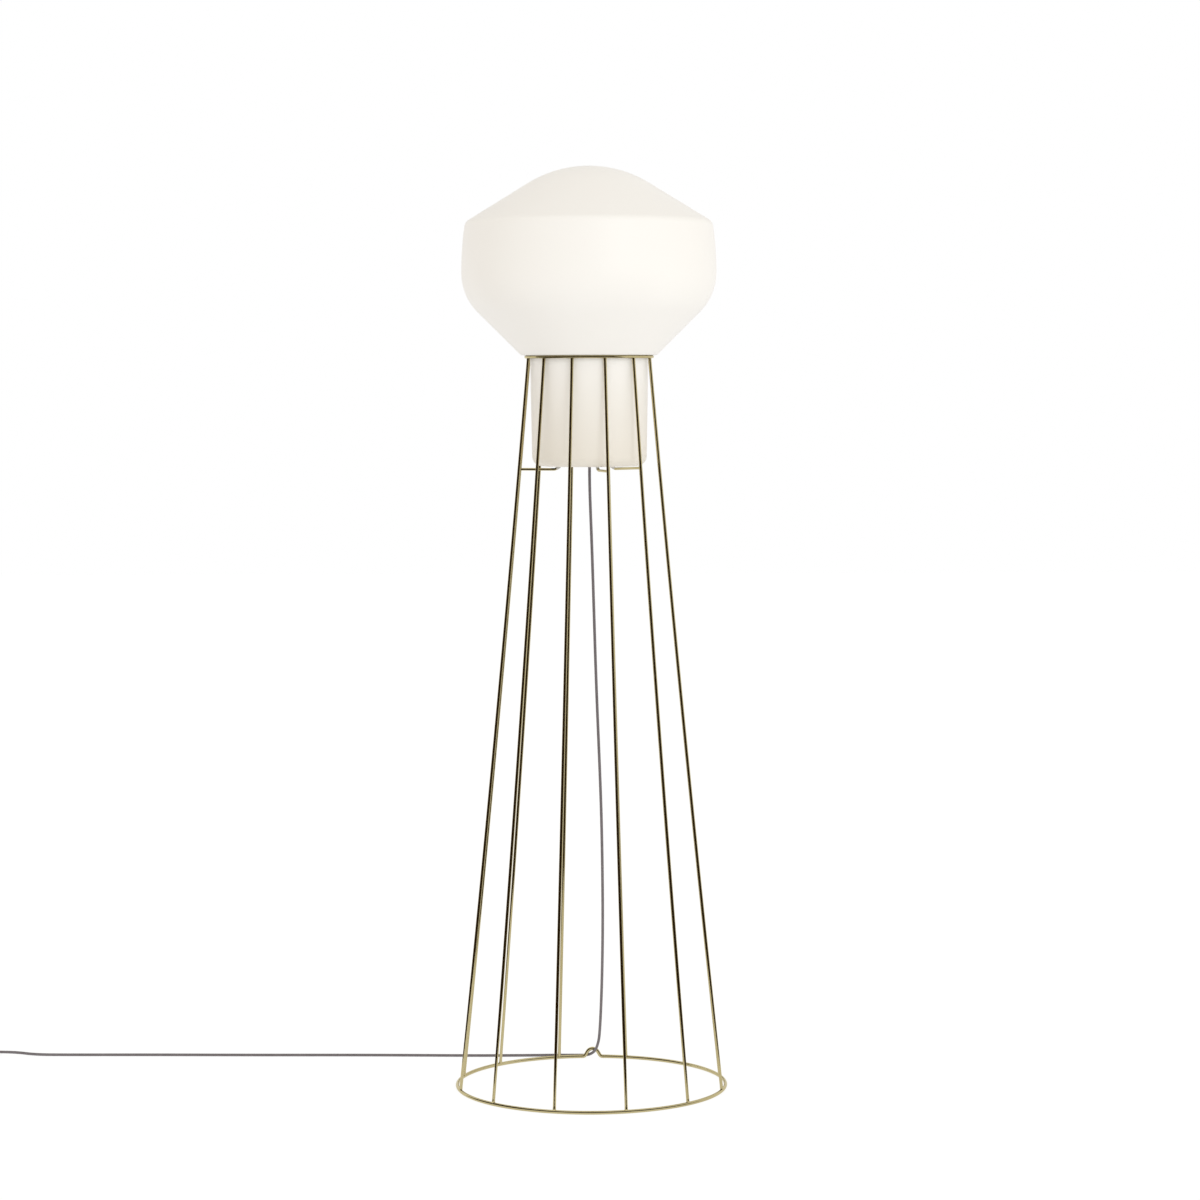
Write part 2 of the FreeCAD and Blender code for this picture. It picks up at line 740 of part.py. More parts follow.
turned(
    "bulb_screw_cap",
    [("bulb_thread_root - 3.5", "bulb_cap_foot"), ("bulb_thread_root - 1", "bulb_cap_foot", 0.9)]
    + thread_outline()
    + [
        ("bulb_thread_radius + 0.2", "bulb_cap_top - 0.6"),
        ("bulb_thread_radius + 0.2", "bulb_cap_top"),
        ("bulb_thread_root - 0.5", "bulb_cap_top"),
        ("bulb_thread_root - 0.5", "bulb_cap_foot + 2"),
        ("bulb_thread_root - 3.5", "bulb_cap_foot + 1"),
    ],
)
turned(
    "bulb_insulator",
    [
        (0.0, "bulb_cap_foot - 1.2"),
        ("4.8", "bulb_cap_foot - 1.2"),
        ("bulb_thread_root - 3.6", "bulb_cap_foot"),
        ("bulb_thread_root - 3.6", "bulb_cap_foot + 1"),
        (0.0, "bulb_cap_foot + 1"),
    ],
)
turned(
    "bulb_tip_contact",
    [
        (0.0, "bulb_cap_foot - 2.7"),
        ("3.6", "bulb_cap_foot - 2.5", 0.9),
        ("4.4", "bulb_cap_foot - 1.22"),
        (0.0, "bulb_cap_foot - 1.22"),
    ],
)
turned(
    "bulb_housing",
    [
        ("bulb_thread_root - 0.55", "bulb_cap_foot + 8"),
        ("bulb_thread_root - 0.55", "bulb_cap_top + 0.02"),
        ("bulb_thread_radius + 1", "bulb_cap_top + 0.02", 0.6),
        ("bulb_thread_radius + 2", "bulb_cap_top + 6", 9.0),
        ("bulb_radius - 1.5", "bulb_shoulder - 4", 6.0),
        ("bulb_radius - 1.5", "bulb_shoulder"),
        ("bulb_radius - 4", "bulb_shoulder"),
        ("bulb_radius - 4", "bulb_shoulder - 3", 4.0),
        ("bulb_thread_root - 2", "bulb_cap_top + 4", 4.0),
        ("bulb_thread_root - 2", "bulb_cap_foot + 8"),
    ],
)
turned(
    "bulb_led_board",
    [
        (0.0, "bulb_shoulder - 2.5"),
        ("bulb_radius - 4.3", "bulb_shoulder - 2.5"),
        ("bulb_radius - 4.3", "bulb_shoulder - 1"),
        (0.0, "bulb_shoulder - 1"),
    ],
)


def made_envelope():
    """The round opal cover of the bulb: a ball on a short neck that meets the housing."""
    radius, wall = size("bulb_radius"), 1.2
    centre, seat = size("bulb_top") - radius, size("bulb_shoulder")
    neck_radius = radius - 1.5
    join = centre - math.sqrt(radius**2 - neck_radius**2)
    ball = Part.makeSphere(radius, Vector(0, 0, centre))
    hollow = Part.makeSphere(radius - wall, Vector(0, 0, centre))
    under = Part.makeCylinder(2 * radius, 2 * radius, Vector(0, 0, join - 2 * radius))
    neck = Part.makeCylinder(neck_radius, join - seat, Vector(0, 0, seat))
    neck_bore = Part.makeCylinder(neck_radius - wall, join - seat, Vector(0, 0, seat))
    solid = ball.cut(under).fuse(neck).removeSplitter().cut(hollow).cut(neck_bore)
    return feature("bulb_envelope", solid)


made_envelope()

# ---------------------------------------------------------------- the cord

# The route from the cord grip down to the arch, in (x, y, z).
DROP_ROUTE = [
    (0.0, 0.0, 857.0),
    (0.0, 0.0, 833.0),
    (0.9, 4.2, 800.0),
    (2.4, 11.5, 757.0),
    (3.9, 20.5, 705.0),
    (5.3, 30.5, 650.0),
    (6.7, 41.5, 595.0),
    (8.3, 53.5, 540.0),
    (10.2, 66.0, 485.0),
    (12.2, 79.0, 430.0),
    (13.9, 92.0, 375.0),
    (14.9, 105.0, 320.0),
    (15.4, 117.8, 265.0),
    (15.5, 130.0, 212.0),
    (14.9, 141.3, 162.0),
    (13.8, 151.6, 116.0),
    (12.3, 160.4, 76.0),
    (10.6, 167.8, 44.0),
    (8.8, 172.0, 26.0),
    (3.6, 178.6, 11.0),
    (-6.0, 189.4, 3.2),
    (-22.0, 196.0, 2.0),
    (-39.0, 196.0, 2.0),
]
# The rest lies on the floor: out behind the ring and away to the left.
FLOOR_ROUTE = [
    (-39.0, 196.0, 2.0),
    (-57.0, 196.0, 2.0),
    (-92.0, 194.4, 2.0),
    (-146.0, 193.2, 2.0),
    (-204.0, 194.2, 2.0),
    (-262.0, 196.4, 2.0),
    (-318.0, 198.0, 2.0),
    (-374.0, 198.8, 2.0),
    (-430.0, 199.2, 2.0),
    (-486.0, 199.8, 2.0),
    (-542.0, 200.8, 2.0),
    (-598.0, 202.0, 2.0),
    (-654.0, 202.9, 2.0),
    (-710.0, 203.2, 2.0),
    (-762.0, 203.7, 2.0),
    (-806.0, 204.6, 2.2),
    (-836.0, 205.0, 6.0),
    (-862.0, 205.0, 6.0),
]


def cord_path(route, name):
    """Straight runs through the points of a route, joined by the largest arcs that fit."""
    points = [Vector(*p) for p in route]
    edges, here, radii = [], points[0], []
    for i in range(1, len(points) - 1):
        run_in, run_out = points[i] - points[i - 1], points[i + 1] - points[i]
        turn = run_in.getAngle(run_out)
        trim = 0.45 * min(run_in.Length, run_out.Length)
        radii.append(trim / math.tan(turn / 2))
        start = points[i] - unit(points[i - 1], points[i]) * trim
        end = points[i] + unit(points[i], points[i + 1]) * trim
        edges.append(Part.LineSegment(here, start).toShape())
        edges.append(arc_from(start, unit(points[i - 1], points[i]), end))
        here = end
    edges.append(Part.LineSegment(here, points[-1]).toShape())
    path = Part.Wire(edges)
    print(f"{name}: {path.Length:.0f} mm, radii", " ".join(f"{r:.0f}" for r in radii))
    return path


def cord(label, route):
    return feature(label, round_pipe(cord_path(route, label), size("cord_radius")))


cord("cord_drop", DROP_ROUTE)
cord("cord_floor", FLOOR_ROUTE)

# Inside the light unit: the sheathed cord up the stem, and its two cores to the terminals.
SHEATH_TOP = size("stem_top + 4")
feature(
    "cord_in_stem",
    Part.makeCylinder(
        size("cord_radius"), SHEATH_TOP - size("grip_foot"), Vector(0, 0, size("grip_foot"))
    ),
)
CORE_RADIUS = 0.8
for label, side in (("core_left", -1), ("core_right", 1)):
    terminal = side * (TERMINAL_OFFSET + 2.0)
    core = [
        (side * 0.95, 0.0, SHEATH_TOP),
        (side * 0.95, 0.0, SHEATH_TOP + 3.5),
        (side * 4.5, 2.5, SHEATH_TOP + 6.5),
        (side * 7.5, 4.4, SHEATH_TOP + 9.5),
        (terminal - side * 2.0, 4.4, size("insert_foot") - 0.5),
    ]
    feature(label, round_pipe(cord_path(core, label), CORE_RADIUS))


def coil_point(turn):
    """A point of the coil and its heading: a flat spiral in, a climb, and a spiral out."""
    half = size("coil_turns") / 2
    gap = size("coil_gap")
    radius = size("coil_inner") + gap * abs(turn - half)
    climb = min(max((turn - half + 0.25) / 0.5, 0.0), 1.0)
    rise = gap * climb**2 * (3 - 2 * climb)
    slope = gap * 6 * climb * (1 - climb) / 0.5
    angle = math.pi / 2 - 2 * math.pi * turn
    out = Vector(math.cos(angle), math.sin(angle), 0)
    along = Vector(math.sin(angle), -math.cos(angle), 0)
    widen = 0.0 if abs(turn - half) < 1e-6 else math.copysign(gap, turn - half)
    if turn < 1e-6 or turn > size("coil_turns") - 1e-6:
        widen = 0.0
    heading = (along * 2 * math.pi * radius + out * widen + Vector(0, 0, slope)).normalize()
    centre = Vector(size("coil_x"), size("coil_y"), size("coil_low"))
    return centre + out * radius + Vector(0, 0, rise), heading


def made_coil():
    """The put-away length: loops in two layers, as one unbroken tube."""
    radius = size("cord_radius")
    steps = int(size("coil_turns") * 4)
    stations = [coil_point(n / 4) for n in range(steps + 1)]
    first, heading = stations[0]
    last, arrival = stations[-1]
    edges = [Part.LineSegment(first - heading * 2 * radius, first).toShape()]
    for (a, along_a), (b, along_b) in zip(stations, stations[1:], strict=False):
        edges += biarc(a, along_a, b, along_b)
    edges.append(Part.LineSegment(last, last + arrival * 2 * radius).toShape())
    path = Part.Wire(edges)
    samples = [coil_point(n / 96)[0] for n in range(int(size("coil_turns") * 96) + 1)]
    gap = min(
        (samples[i] - samples[j]).Length - 2 * radius
        for i in range(0, len(samples), 3)
        for j in range(i + 60, len(samples))
    )
    print(f"cord_coil: {path.Length:.0f} mm, least gap between turns {gap:.2f} mm")
    feature("cord_coil", round_pipe(path, radius))
    return first - heading * 2 * radius, last + arrival * 2 * radius


coil_entry, coil_exit = made_coil()

RELIEF_HEIGHT = 6.0
switch_end = size("switch_x") - size("switch_length") / 2 - size("relief_length")
# It leaves the switch, goes round in a half circle, and comes back to the coil.
bend_radius = (size("switch_y") - coil_entry.y) / 2
bend_middle = size("switch_y") - bend_radius
bend_side = bend_radius * math.tan(math.pi / 8)
LEAD_ROUTE = [
    (switch_end, size("switch_y"), RELIEF_HEIGHT),
    (switch_end - 17.5, size("switch_y"), RELIEF_HEIGHT),
    (switch_end - 31.5, bend_middle + bend_side, 3.2),
    (switch_end - 31.5, bend_middle - bend_side, 2.2),
    (switch_end - 17.5, coil_entry.y - 0.3, 2.0),
    (switch_end + 4.0, coil_entry.y - 0.4, 2.3),
    (switch_end + 24.0, coil_entry.y, coil_entry.z),
    tuple(coil_entry),
]
cord("cord_switch_to_coil", LEAD_ROUTE)
plug_entry = size("plug_x")
END_ROUTE = [
    tuple(coil_exit),
    (coil_exit.x - 17, coil_exit.y, coil_exit.z),
    (coil_exit.x - 38, coil_exit.y - 0.8, 7.0),
    (plug_entry + 15, size("plug_y"), size("plug_height / 2")),
    (plug_entry, size("plug_y"), size("plug_height / 2")),
]
cord("cord_coil_to_plug", END_ROUTE)


def made_tie():
    """A soft band round the bundle of turns."""
    inside = 2 * (size("coil_turns") / 4 * size("coil_gap")) + 2 * size("cord_radius") + 1.6
    middle = size("coil_x + coil_inner") + size("coil_turns") / 4 * size("coil_gap")
    low = size("coil_low - cord_radius") - 0.1
    high = size("coil_low + coil_gap + cord_radius") + 0.4
    thickness, width = 0.7, 8.0

    def band(grow, round_edge):
        box = Part.makeBox(
            inside + 2 * grow,
            width,
            high - low + 2 * grow,
            Vector(middle - inside / 2 - grow, size("coil_y") - width / 2, low - grow),
        )
        along = [e for e in box.Edges if abs(e.tangentAt(e.FirstParameter).y) > 0.9]
        return box.makeFillet(round_edge, along)

    feature("coil_tie", band(thickness, 2.3).cut(band(0.0, 1.6)))


made_tie()

# ---------------------------------------------------------------- the foot switch

SWITCH_PLACE = Placement(Vector(size("switch_x"), size("switch_y"), 0), Rotation())


def body_at(label, place):
    body = doc.addObject("PartDesign::Body", label + "_body")
    body.Placement = place
    return body


def rounded(body, base, name, radius, chosen):
    """Round the edges of a feature that a test picks."""
    doc.recompute()
    names = [f"Edge{n + 1}" for n, edge in enumerate(base.Shape.Edges) if chosen(edge)]
    fillet = body.newObject("PartDesign::Fillet", name)
    fillet.Base = (base, names)
    bind(fillet, "Radius", radius)
    return fillet


def all_at_height(height):
    return lambda edge: all(abs(v.Point.z - height) < 1e-4 for v in edge.Vertexes)


SCREW_SPOTS = [(-29.0, -7.5), (29.0, 7.5)]


def round_spots(body, name, spots, radius, height, foot, cut=False):
    """Raise or cut a round boss or hole at each of some places, between two heights."""
    sketch = sketch_on(body, "floor", name + "_outline")
    sketch.AttachmentOffset = Placement(Vector(0, 0, size(foot)), Rotation())
    if isinstance(foot, str):
        sketch.setExpression("AttachmentOffset.Base.z", cells(foot))
    for x, y in spots:
        circle = Part.Circle(Vector(x, y, 0), Vector(0, 0, 1), size(radius))
        number = sketch.addGeometry(circle, False)
        bound_point(sketch, number, 3, x, y)
        n = sketch.addConstraint(Sketcher.Constraint("Radius", number, size(radius)))
        if isinstance(radius, str):
            sketch.setExpression(f"Constraints[{n}]", cells(radius))
    feature = body.newObject("PartDesign::Pocket" if cut else "PartDesign::Pad", name)
    feature.Profile = sketch
    bind(feature, "Length", height)
    feature.Reversed = bool(cut)
    sketch.Visibility = False
    return feature


base_shell = body_at("footswitch_base", SWITCH_PLACE)
block(
    base_shell,
    "base_outside",
    rectangle("switch_length", "switch_width", 16.0),
    "switch_base_height",
)
base_cavity = block(
    base_shell,
    "base_cavity",
    rectangle("switch_length - 2 * switch_wall", "switch_width - 2 * switch_wall", 14.0),
    "switch_base_height - switch_wall",
    foot="switch_wall",
    cut=True,
)
rounded(base_shell, base_cavity, "base_edge", 1.2, all_at_height(0.0))
SCREW_HEAD_TOP = 3.2
round_spots(base_shell, "base_pillars", SCREW_SPOTS, 4.6, "switch_base_height - 1", 1.0)
round_spots(base_shell, "screw_holes", SCREW_SPOTS, 1.7, "switch_base_height", 0.0, cut=True)
round_spots(base_shell, "screw_recesses", SCREW_SPOTS, 3.2, SCREW_HEAD_TOP, 0.0, cut=True)
keep(base_shell, "footswitch_base")

cover_shell = body_at("footswitch_cover", SWITCH_PLACE)
block(
    cover_shell,
    "cover_outside",
    rectangle("switch_length", "switch_width", 16.0),
    "switch_height - switch_base_height",
    foot="switch_base_height",
)
cover_solid = cover_shell.Tip
cover_edge = rounded(
    cover_shell, cover_solid, "cover_edge", 5.0, all_at_height(size("switch_height"))
)
block(
    cover_shell,
    "cover_cavity",
    rectangle("switch_length - 3 * switch_wall", "switch_width - 3 * switch_wall", 12.0),
    "switch_height - switch_base_height - switch_wall",
    foot="switch_base_height",
    cut=True,
)
round_spots(
    cover_shell,
    "cover_pillars",
    SCREW_SPOTS,
    4.0,
    "switch_height - switch_base_height - 1",
    "switch_base_height",
)
SCREW_TIP = 17.0
round_spots(
    cover_shell,
    "cover_screw_holes",
    SCREW_SPOTS,
    1.45,
    SCREW_TIP - size("switch_base_height"),
    "switch_base_height",
    cut=True,
)
round_spots(
    cover_shell,
    "button_hole",
    [(0.0, 0.0)],
    "button_radius + 0.4",
    "switch_height",
    "switch_base_height",
    cut=True,
)
keep(cover_shell, "footswitch_cover")

FLANGE_TOP = "switch_height - switch_wall - 0.05"
turned(
    "footswitch_button",
    [
        (0.0, "switch_height - 4"),
        ("2.6", "switch_height - 4"),
        ("2.6", "switch_height - 8"),
        ("4.2", "switch_height - 8"),
        ("4.2", "switch_height - 5"),
        ("button_radius - 1.6", "switch_height - 5"),
        ("button_radius - 1.6", "switch_height - 6.5"),
        ("button_radius", "switch_height - 6.5"),
        ("button_radius", FLANGE_TOP + " - 1.5"),
        ("button_radius + 1.5", FLANGE_TOP + " - 1.5"),
        ("button_radius + 1.5", FLANGE_TOP),
        ("button_radius", FLANGE_TOP),
        ("button_radius", "switch_height + button_travel", 1.6),
        (0.0, "switch_height + button_travel + 0.8"),
    ],
    SWITCH_PLACE.Base,
)

MODULE_HEIGHT = 5.6
switch_module = body_at("footswitch_contacts", SWITCH_PLACE)
block(switch_module, "module", rectangle("22", "16", 1.5), MODULE_HEIGHT, foot="switch_wall")
block(switch_module, "module_boss", rectangle("4", "4", 1.9), 1.6, foot=f"switch_wall + {MODULE_HEIGHT}")
keep(switch_module, "footswitch_contacts")


def made_spring():
    """The coil spring that lifts the button, its turns as one unbroken tube."""
    wire, radius, turns = 0.45, 3.4, 4
    foot = size("switch_wall") + MODULE_HEIGHT + wire + 0.02
    top = size("switch_height - 8") - wire - 0.02
    pitch = (top - foot) / turns
    centre = SWITCH_PLACE.Base

    def station(turn):
        angle = 2 * math.pi * turn
        around = Vector(math.cos(angle), math.sin(angle), 0)
        along = Vector(-math.sin(angle), math.cos(angle), 0)
        heading = (along * 2 * math.pi * radius + Vector(0, 0, pitch)).normalize()
        return centre + around * radius + Vector(0, 0, foot + pitch * turn), heading

    edges = []
    for n in range(turns * 4):
        (a, along_a), (b, along_b) = station(n / 4), station((n + 1) / 4)
        edges += biarc(a, along_a, b, along_b)
    print(f"footswitch_spring: least gap between turns {pitch - 2 * wire:.2f} mm")
    feature("footswitch_spring", round_pipe(Part.Wire(edges), wire))


made_spring()

switch_screws = []
for x, y in SCREW_SPOTS:
    spot = SWITCH_PLACE.Base + Vector(x, y, SCREW_HEAD_TOP - 1.4)
    shank = Part.makeCylinder(1.45, SCREW_TIP - spot.z, spot)
    head = Part.makeCylinder(2.9, 1.4, spot)
    slot = Part.makeBox(6.2, 0.8, 0.7, spot - Vector(3.1, 0.4, 0))
    switch_screws.append(shank.fuse(head).removeSplitter().cut(slot))
feature("footswitch_screws", Part.makeCompound(switch_screws))


def tapered_sleeve(start, heading, length, narrow, wide):
    """A tapered strain relief with grooves, its narrow end at the cord."""
    cone = Part.makeCone(narrow, wide, length, start, heading)
    for n in range(4):
        at = start + heading * (length * (0.28 + 0.17 * n))
        radius = narrow + (wide - narrow) * (0.28 + 0.17 * n)
        ring = Part.makeCylinder(radius + 2, 1.1, at, heading)
        core = Part.makeCylinder(radius - 0.7, 1.1, at, heading)
        cone = cone.cut(ring.cut(core))
    return cone


relief_length = size("relief_length")
half_switch = size("switch_length") / 2
reliefs = []
for side in (-1, 1):
    tip = SWITCH_PLACE.Base + Vector(side * (half_switch + relief_length), 0, RELIEF_HEIGHT)
    reliefs.append(tapered_sleeve(tip, Vector(-side, 0, 0), relief_length, 2.9, 4.4))
feature("footswitch_reliefs", Part.makeCompound(reliefs))

# ---------------------------------------------------------------- the mains plug

MID_PLUG = size("plug_height") / 2
plug_back = size("plug_x") - size("relief_length")
plug_face = plug_back - size("plug_length")


def plug_section(x, half_width, half_height, corner):
    """A section of the plug across its length: a flat body with slanted shoulders."""
    y, z = size("plug_y"), MID_PLUG
    outline_points = [
        (-half_width, -half_height + corner),
        (-half_width + corner, -half_height),
        (half_width - corner, -half_height),
        (half_width, -half_height + corner),
        (half_width, half_height - corner),
        (half_width - corner, half_height),
        (-half_width + corner, half_height),
        (-half_width, half_height - corner),
    ]
    points = [Vector(x, y + across, z + up) for across, up in outline_points]
    return Part.makePolygon(points + points[:1])


half_wide, half_high = size("plug_width") / 2, size("plug_height") / 2
plug_body = Part.makeLoft(
    [
        plug_section(plug_face, half_wide - 4.0, half_high - 0.3, 3.2),
        plug_section(plug_face + 9, half_wide - 1.0, half_high, 3.4),
        plug_section(plug_face + 16, half_wide, half_high, 3.4),
        plug_section(plug_face + 25, half_wide - 7.0, half_high - 0.3, 3.2),
        plug_section(plug_back, 5.2, 5.0, 2.2),
    ],
    True,
    True,
)
plug_relief = tapered_sleeve(
    Vector(size("plug_x"), size("plug_y"), MID_PLUG),
    Vector(-1, 0, 0),
    size("relief_length") + 1.0,
    2.9,
    4.5,
)
feature("plug_body", plug_body.fuse(plug_relief).removeSplitter())

pins, pin_sleeves = [], []
sleeve_length = size("pin_sleeve_length")
for side in (-1, 1):
    base = Vector(plug_face, size("plug_y") + side * size("pin_spacing") / 2, MID_PLUG)
    metal_start = base - Vector(sleeve_length, 0, 0)
    metal_length = size("pin_length") - sleeve_length
    metal = Part.makeCylinder(size("pin_radius"), metal_length, metal_start, Vector(-1, 0, 0))
    tip_edge = [e for e in metal.Edges if e.BoundBox.XMax < metal_start.x - metal_length + 0.01]
    pins.append(metal.makeFillet(1.2, tip_edge))
    pin_sleeves.append(
        Part.makeCylinder(size("pin_sleeve_radius"), sleeve_length, base, Vector(-1, 0, 0))
    )
feature("plug_pins", Part.makeCompound(pins))
feature("plug_pin_sleeves", Part.makeCompound(pin_sleeves))

# ---------------------------------------------------------------- checked and written


def check_document():
    """Every object is sound, and every sub-part is whole."""
    doc.recompute()
    for thing in doc.Objects:
        if "Invalid" in thing.State or "Error" in thing.State:
            raise RuntimeError(f"{thing.Name} failed: {thing.State}")
    for thing in subparts:
        if thing.Shape.isNull() or not thing.Shape.isValid() or not thing.Shape.Solids:
            raise RuntimeError(f"{thing.Label} has no sound shape")


check_document()
os.makedirs("parts", exist_ok=True)
for thing in subparts:
    thing.Shape.exportStep(os.path.join("parts", thing.Label + ".step"))
    box = thing.Shape.BoundBox
    print(
        f"{thing.Label}: {len(thing.Shape.Solids)} solid, {thing.Shape.Volume / 1000:.2f} cm3,"
        f" x {box.XMin:.1f}..{box.XMax:.1f} y {box.YMin:.1f}..{box.YMax:.1f}"
        f" z {box.ZMin:.1f}..{box.ZMax:.1f}"
    )
print(len(subparts), "sub-parts")
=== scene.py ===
import json
import math

import bpy
import numpy as np
from mathutils import Matrix, Vector


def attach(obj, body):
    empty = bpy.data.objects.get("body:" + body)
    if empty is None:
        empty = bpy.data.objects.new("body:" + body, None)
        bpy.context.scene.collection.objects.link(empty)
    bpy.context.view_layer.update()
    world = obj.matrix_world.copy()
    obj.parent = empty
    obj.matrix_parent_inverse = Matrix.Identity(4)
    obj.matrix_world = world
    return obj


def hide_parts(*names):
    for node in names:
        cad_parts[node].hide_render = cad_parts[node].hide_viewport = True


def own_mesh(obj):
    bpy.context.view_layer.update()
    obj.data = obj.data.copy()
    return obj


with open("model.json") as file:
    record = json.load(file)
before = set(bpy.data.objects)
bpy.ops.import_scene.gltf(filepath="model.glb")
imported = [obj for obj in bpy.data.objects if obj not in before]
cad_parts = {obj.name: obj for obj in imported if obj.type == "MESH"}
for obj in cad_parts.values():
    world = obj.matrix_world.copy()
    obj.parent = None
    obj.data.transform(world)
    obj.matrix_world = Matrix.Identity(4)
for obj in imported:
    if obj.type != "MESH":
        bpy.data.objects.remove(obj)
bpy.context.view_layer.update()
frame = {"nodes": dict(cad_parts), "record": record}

# Sizes are in metres. +Z is up, the front is -Y, and the origin is on the floor, on the
# axis of the cage.

UP = (0, 0, 1)

# ---------------------------------------------------------------- camera

CAMERA_PLACE = (0.0437, -4.5533, 0.9756)
CAMERA_LENS, CAMERA_SENSOR = 100.0, 36.0  # in millimetres
CAMERA_CLIP = 60.0
CAMERA_DOWN, CAMERA_TO_RIGHT, CAMERA_ROLL = 3.813, -0.3766, -0.174  # in degrees


def set_camera():
    """A long lens at three quarters of the lamp's height, turned a little down."""
    camera = bpy.data.cameras.new("photo_camera")
    camera.lens = CAMERA_LENS
    camera.sensor_width = CAMERA_SENSOR
    camera.clip_end = CAMERA_CLIP
    obj = bpy.data.objects.new("photo_camera", camera)
    bpy.context.scene.collection.objects.link(obj)
    turn = (
        Matrix.Rotation(math.radians(-CAMERA_TO_RIGHT), 4, "Z")
        @ Matrix.Rotation(math.radians(90 - CAMERA_DOWN), 4, "X")
        @ Matrix.Rotation(math.radians(CAMERA_ROLL), 4, "Z")
    )
    obj.matrix_world = Matrix.Translation(CAMERA_PLACE) @ turn
    bpy.context.scene.camera = obj


set_camera()

# ---------------------------------------------------------------- building surfaces


def grid_faces(rows, columns, rows_meet=False):
    """Faces of a grid whose columns close on themselves; its rows too, if rows_meet."""
    last = rows if rows_meet else rows - 1
    i, j = np.meshgrid(np.arange(last), np.arange(columns), indexing="ij")
    here, across = i * columns, (i + 1) % rows * columns
    onward = (j + 1) % columns
    corners = [here + j, here + onward, across + onward, across + j]
    return np.stack(corners, -1).reshape(-1, 4)


def unit(vectors):
    """Vectors of length 1 in the same directions."""
    return vectors / np.linalg.norm(vectors, axis=-1, keepdims=True)


def wire_points(path, radius, side, around, closed=False):
    """Points of a round bar: path(s) + radius(s) * (cos v * across(s) + sin v * over(s)).

    across is square to the path and to side, and over is square to both of those.
    """
    path = np.asarray(path, float)
    if closed:
        along = np.roll(path, -1, 0) - np.roll(path, 1, 0)
    else:
        along = np.gradient(path, axis=0)
    along = unit(along)
    across = unit(np.cross(along, side))
    over = np.cross(across, along)
    v = np.linspace(0, 2 * math.pi, around, endpoint=False)[:, None]
    ring = np.cos(v) * across[:, None] + np.sin(v) * over[:, None]
    return (path[:, None] + np.reshape(radius, (-1, 1, 1)) * ring).reshape(-1, 3)


def capped(points, faces, around):
    """The same open tube, with a flat face over each of its two ends."""
    rows = len(points) // around
    tips = points.reshape(rows, around, 3)[[0, -1]].mean(axis=1)
    j = np.arange(around)
    onward = (j + 1) % around
    first = np.stack([j, onward, np.full(around, len(points))], -1)
    base = (rows - 1) * around
    last = np.stack([base + onward, base + j, np.full(around, len(points) + 1)], -1)
    return np.vstack([points, tips]), faces.tolist() + first.tolist() + last.tolist()


def tube_piece(name, path, radius, side, body, material, around=20):
    """A round bar with closed ends, as one piece."""
    points = wire_points(path, np.broadcast_to(radius, len(path)), side, around)
    points, faces = capped(points, grid_faces(len(path), around), around)
    mesh = bpy.data.meshes.new(name)
    mesh.from_pydata(points.tolist(), [], faces)
    return finish_mesh(mesh, name, body, material)


def finish_mesh(mesh, name, body, material):
    """Make a mesh smooth, give it its finish, and let it ride on its body."""
    mesh.validate()
    mesh.shade_smooth()
    mesh.materials.append(material)
    obj = bpy.data.objects.new(name, mesh)
    bpy.context.scene.collection.objects.link(obj)
    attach(obj, body)
    return obj


def arc_points(start, end, radius, steps):
    """Points of the arc from start to end that bulges left where radius is positive.

    Its centre lies on the chord's middle line, at sqrt(radius^2 - half chord^2).
    """
    start, end = np.array(start, float), np.array(end, float)
    chord = end - start
    half = np.linalg.norm(chord) / 2
    left = np.array([-chord[1], chord[0]]) / (2 * half)
    rise = math.copysign(math.sqrt(radius**2 - half**2), radius)
    centre = (start + end) / 2 - left * rise
    first = math.atan2(*(start - centre)[::-1])
    last = math.atan2(*(end - centre)[::-1])
    if radius > 0 and last > first:
        last -= 2 * math.pi
    if radius < 0 and last < first:
        last += 2 * math.pi
    t = np.linspace(first, last, steps)[:, None]
    return centre + abs(radius) * np.hstack([np.cos(t), np.sin(t)])


def rounded_corner(before, corner, after, radius, steps):
    """Points of the arc of that radius, tangent to the two straight sides of a corner.

    It starts and ends radius / tan(half the corner's angle) away from the corner.
    """
    before, corner, after = (np.array(p, float) for p in (before, corner, after))
    way_in, way_out = unit(corner - before), unit(after - corner)
    angle = math.acos(float(np.clip(-way_in @ way_out, -1, 1)))
    trim = radius / math.tan(angle / 2)
    start, end = corner - way_in * trim, corner + way_out * trim
    turn = math.copysign(radius, -(way_in[0] * way_out[1] - way_in[1] * way_out[0]))
    return arc_points(start, end, turn, steps)


def straight(start, end, steps):
    """Evenly spaced points between two others, which are left out."""
    t = np.linspace(0, 1, steps + 2)[1:-1, None]
    return np.array(start) * (1 - t) + np.array(end) * t


def offset_inward(profile, wall):
    """The same profile moved by wall along its normals, to the right of its direction."""
    along = unit(np.gradient(profile, axis=0))
    return profile + wall * np.stack([along[:, 1], -along[:, 0]], -1)


def turned_points(profile, around):
    """Points of a turned surface: (radius(s) * cos t, radius(s) * sin t, height(s))."""
    t = np.linspace(0, 2 * math.pi, around, endpoint=False)
    r, z = profile[:, 0, None], profile[:, 1, None]
    return np.stack(
        [r * np.cos(t), r * np.sin(t), np.broadcast_to(z, (len(profile), around))], -1
    ).reshape(-1, 3)


# ---------------------------------------------------------------- finishes

CLOUD_DETAIL, RELIEF_DETAIL, NOISE_ROUGHNESS = 4.0, 3.0, 0.55
CLOUD_EDGES = (0.32, 0.68)


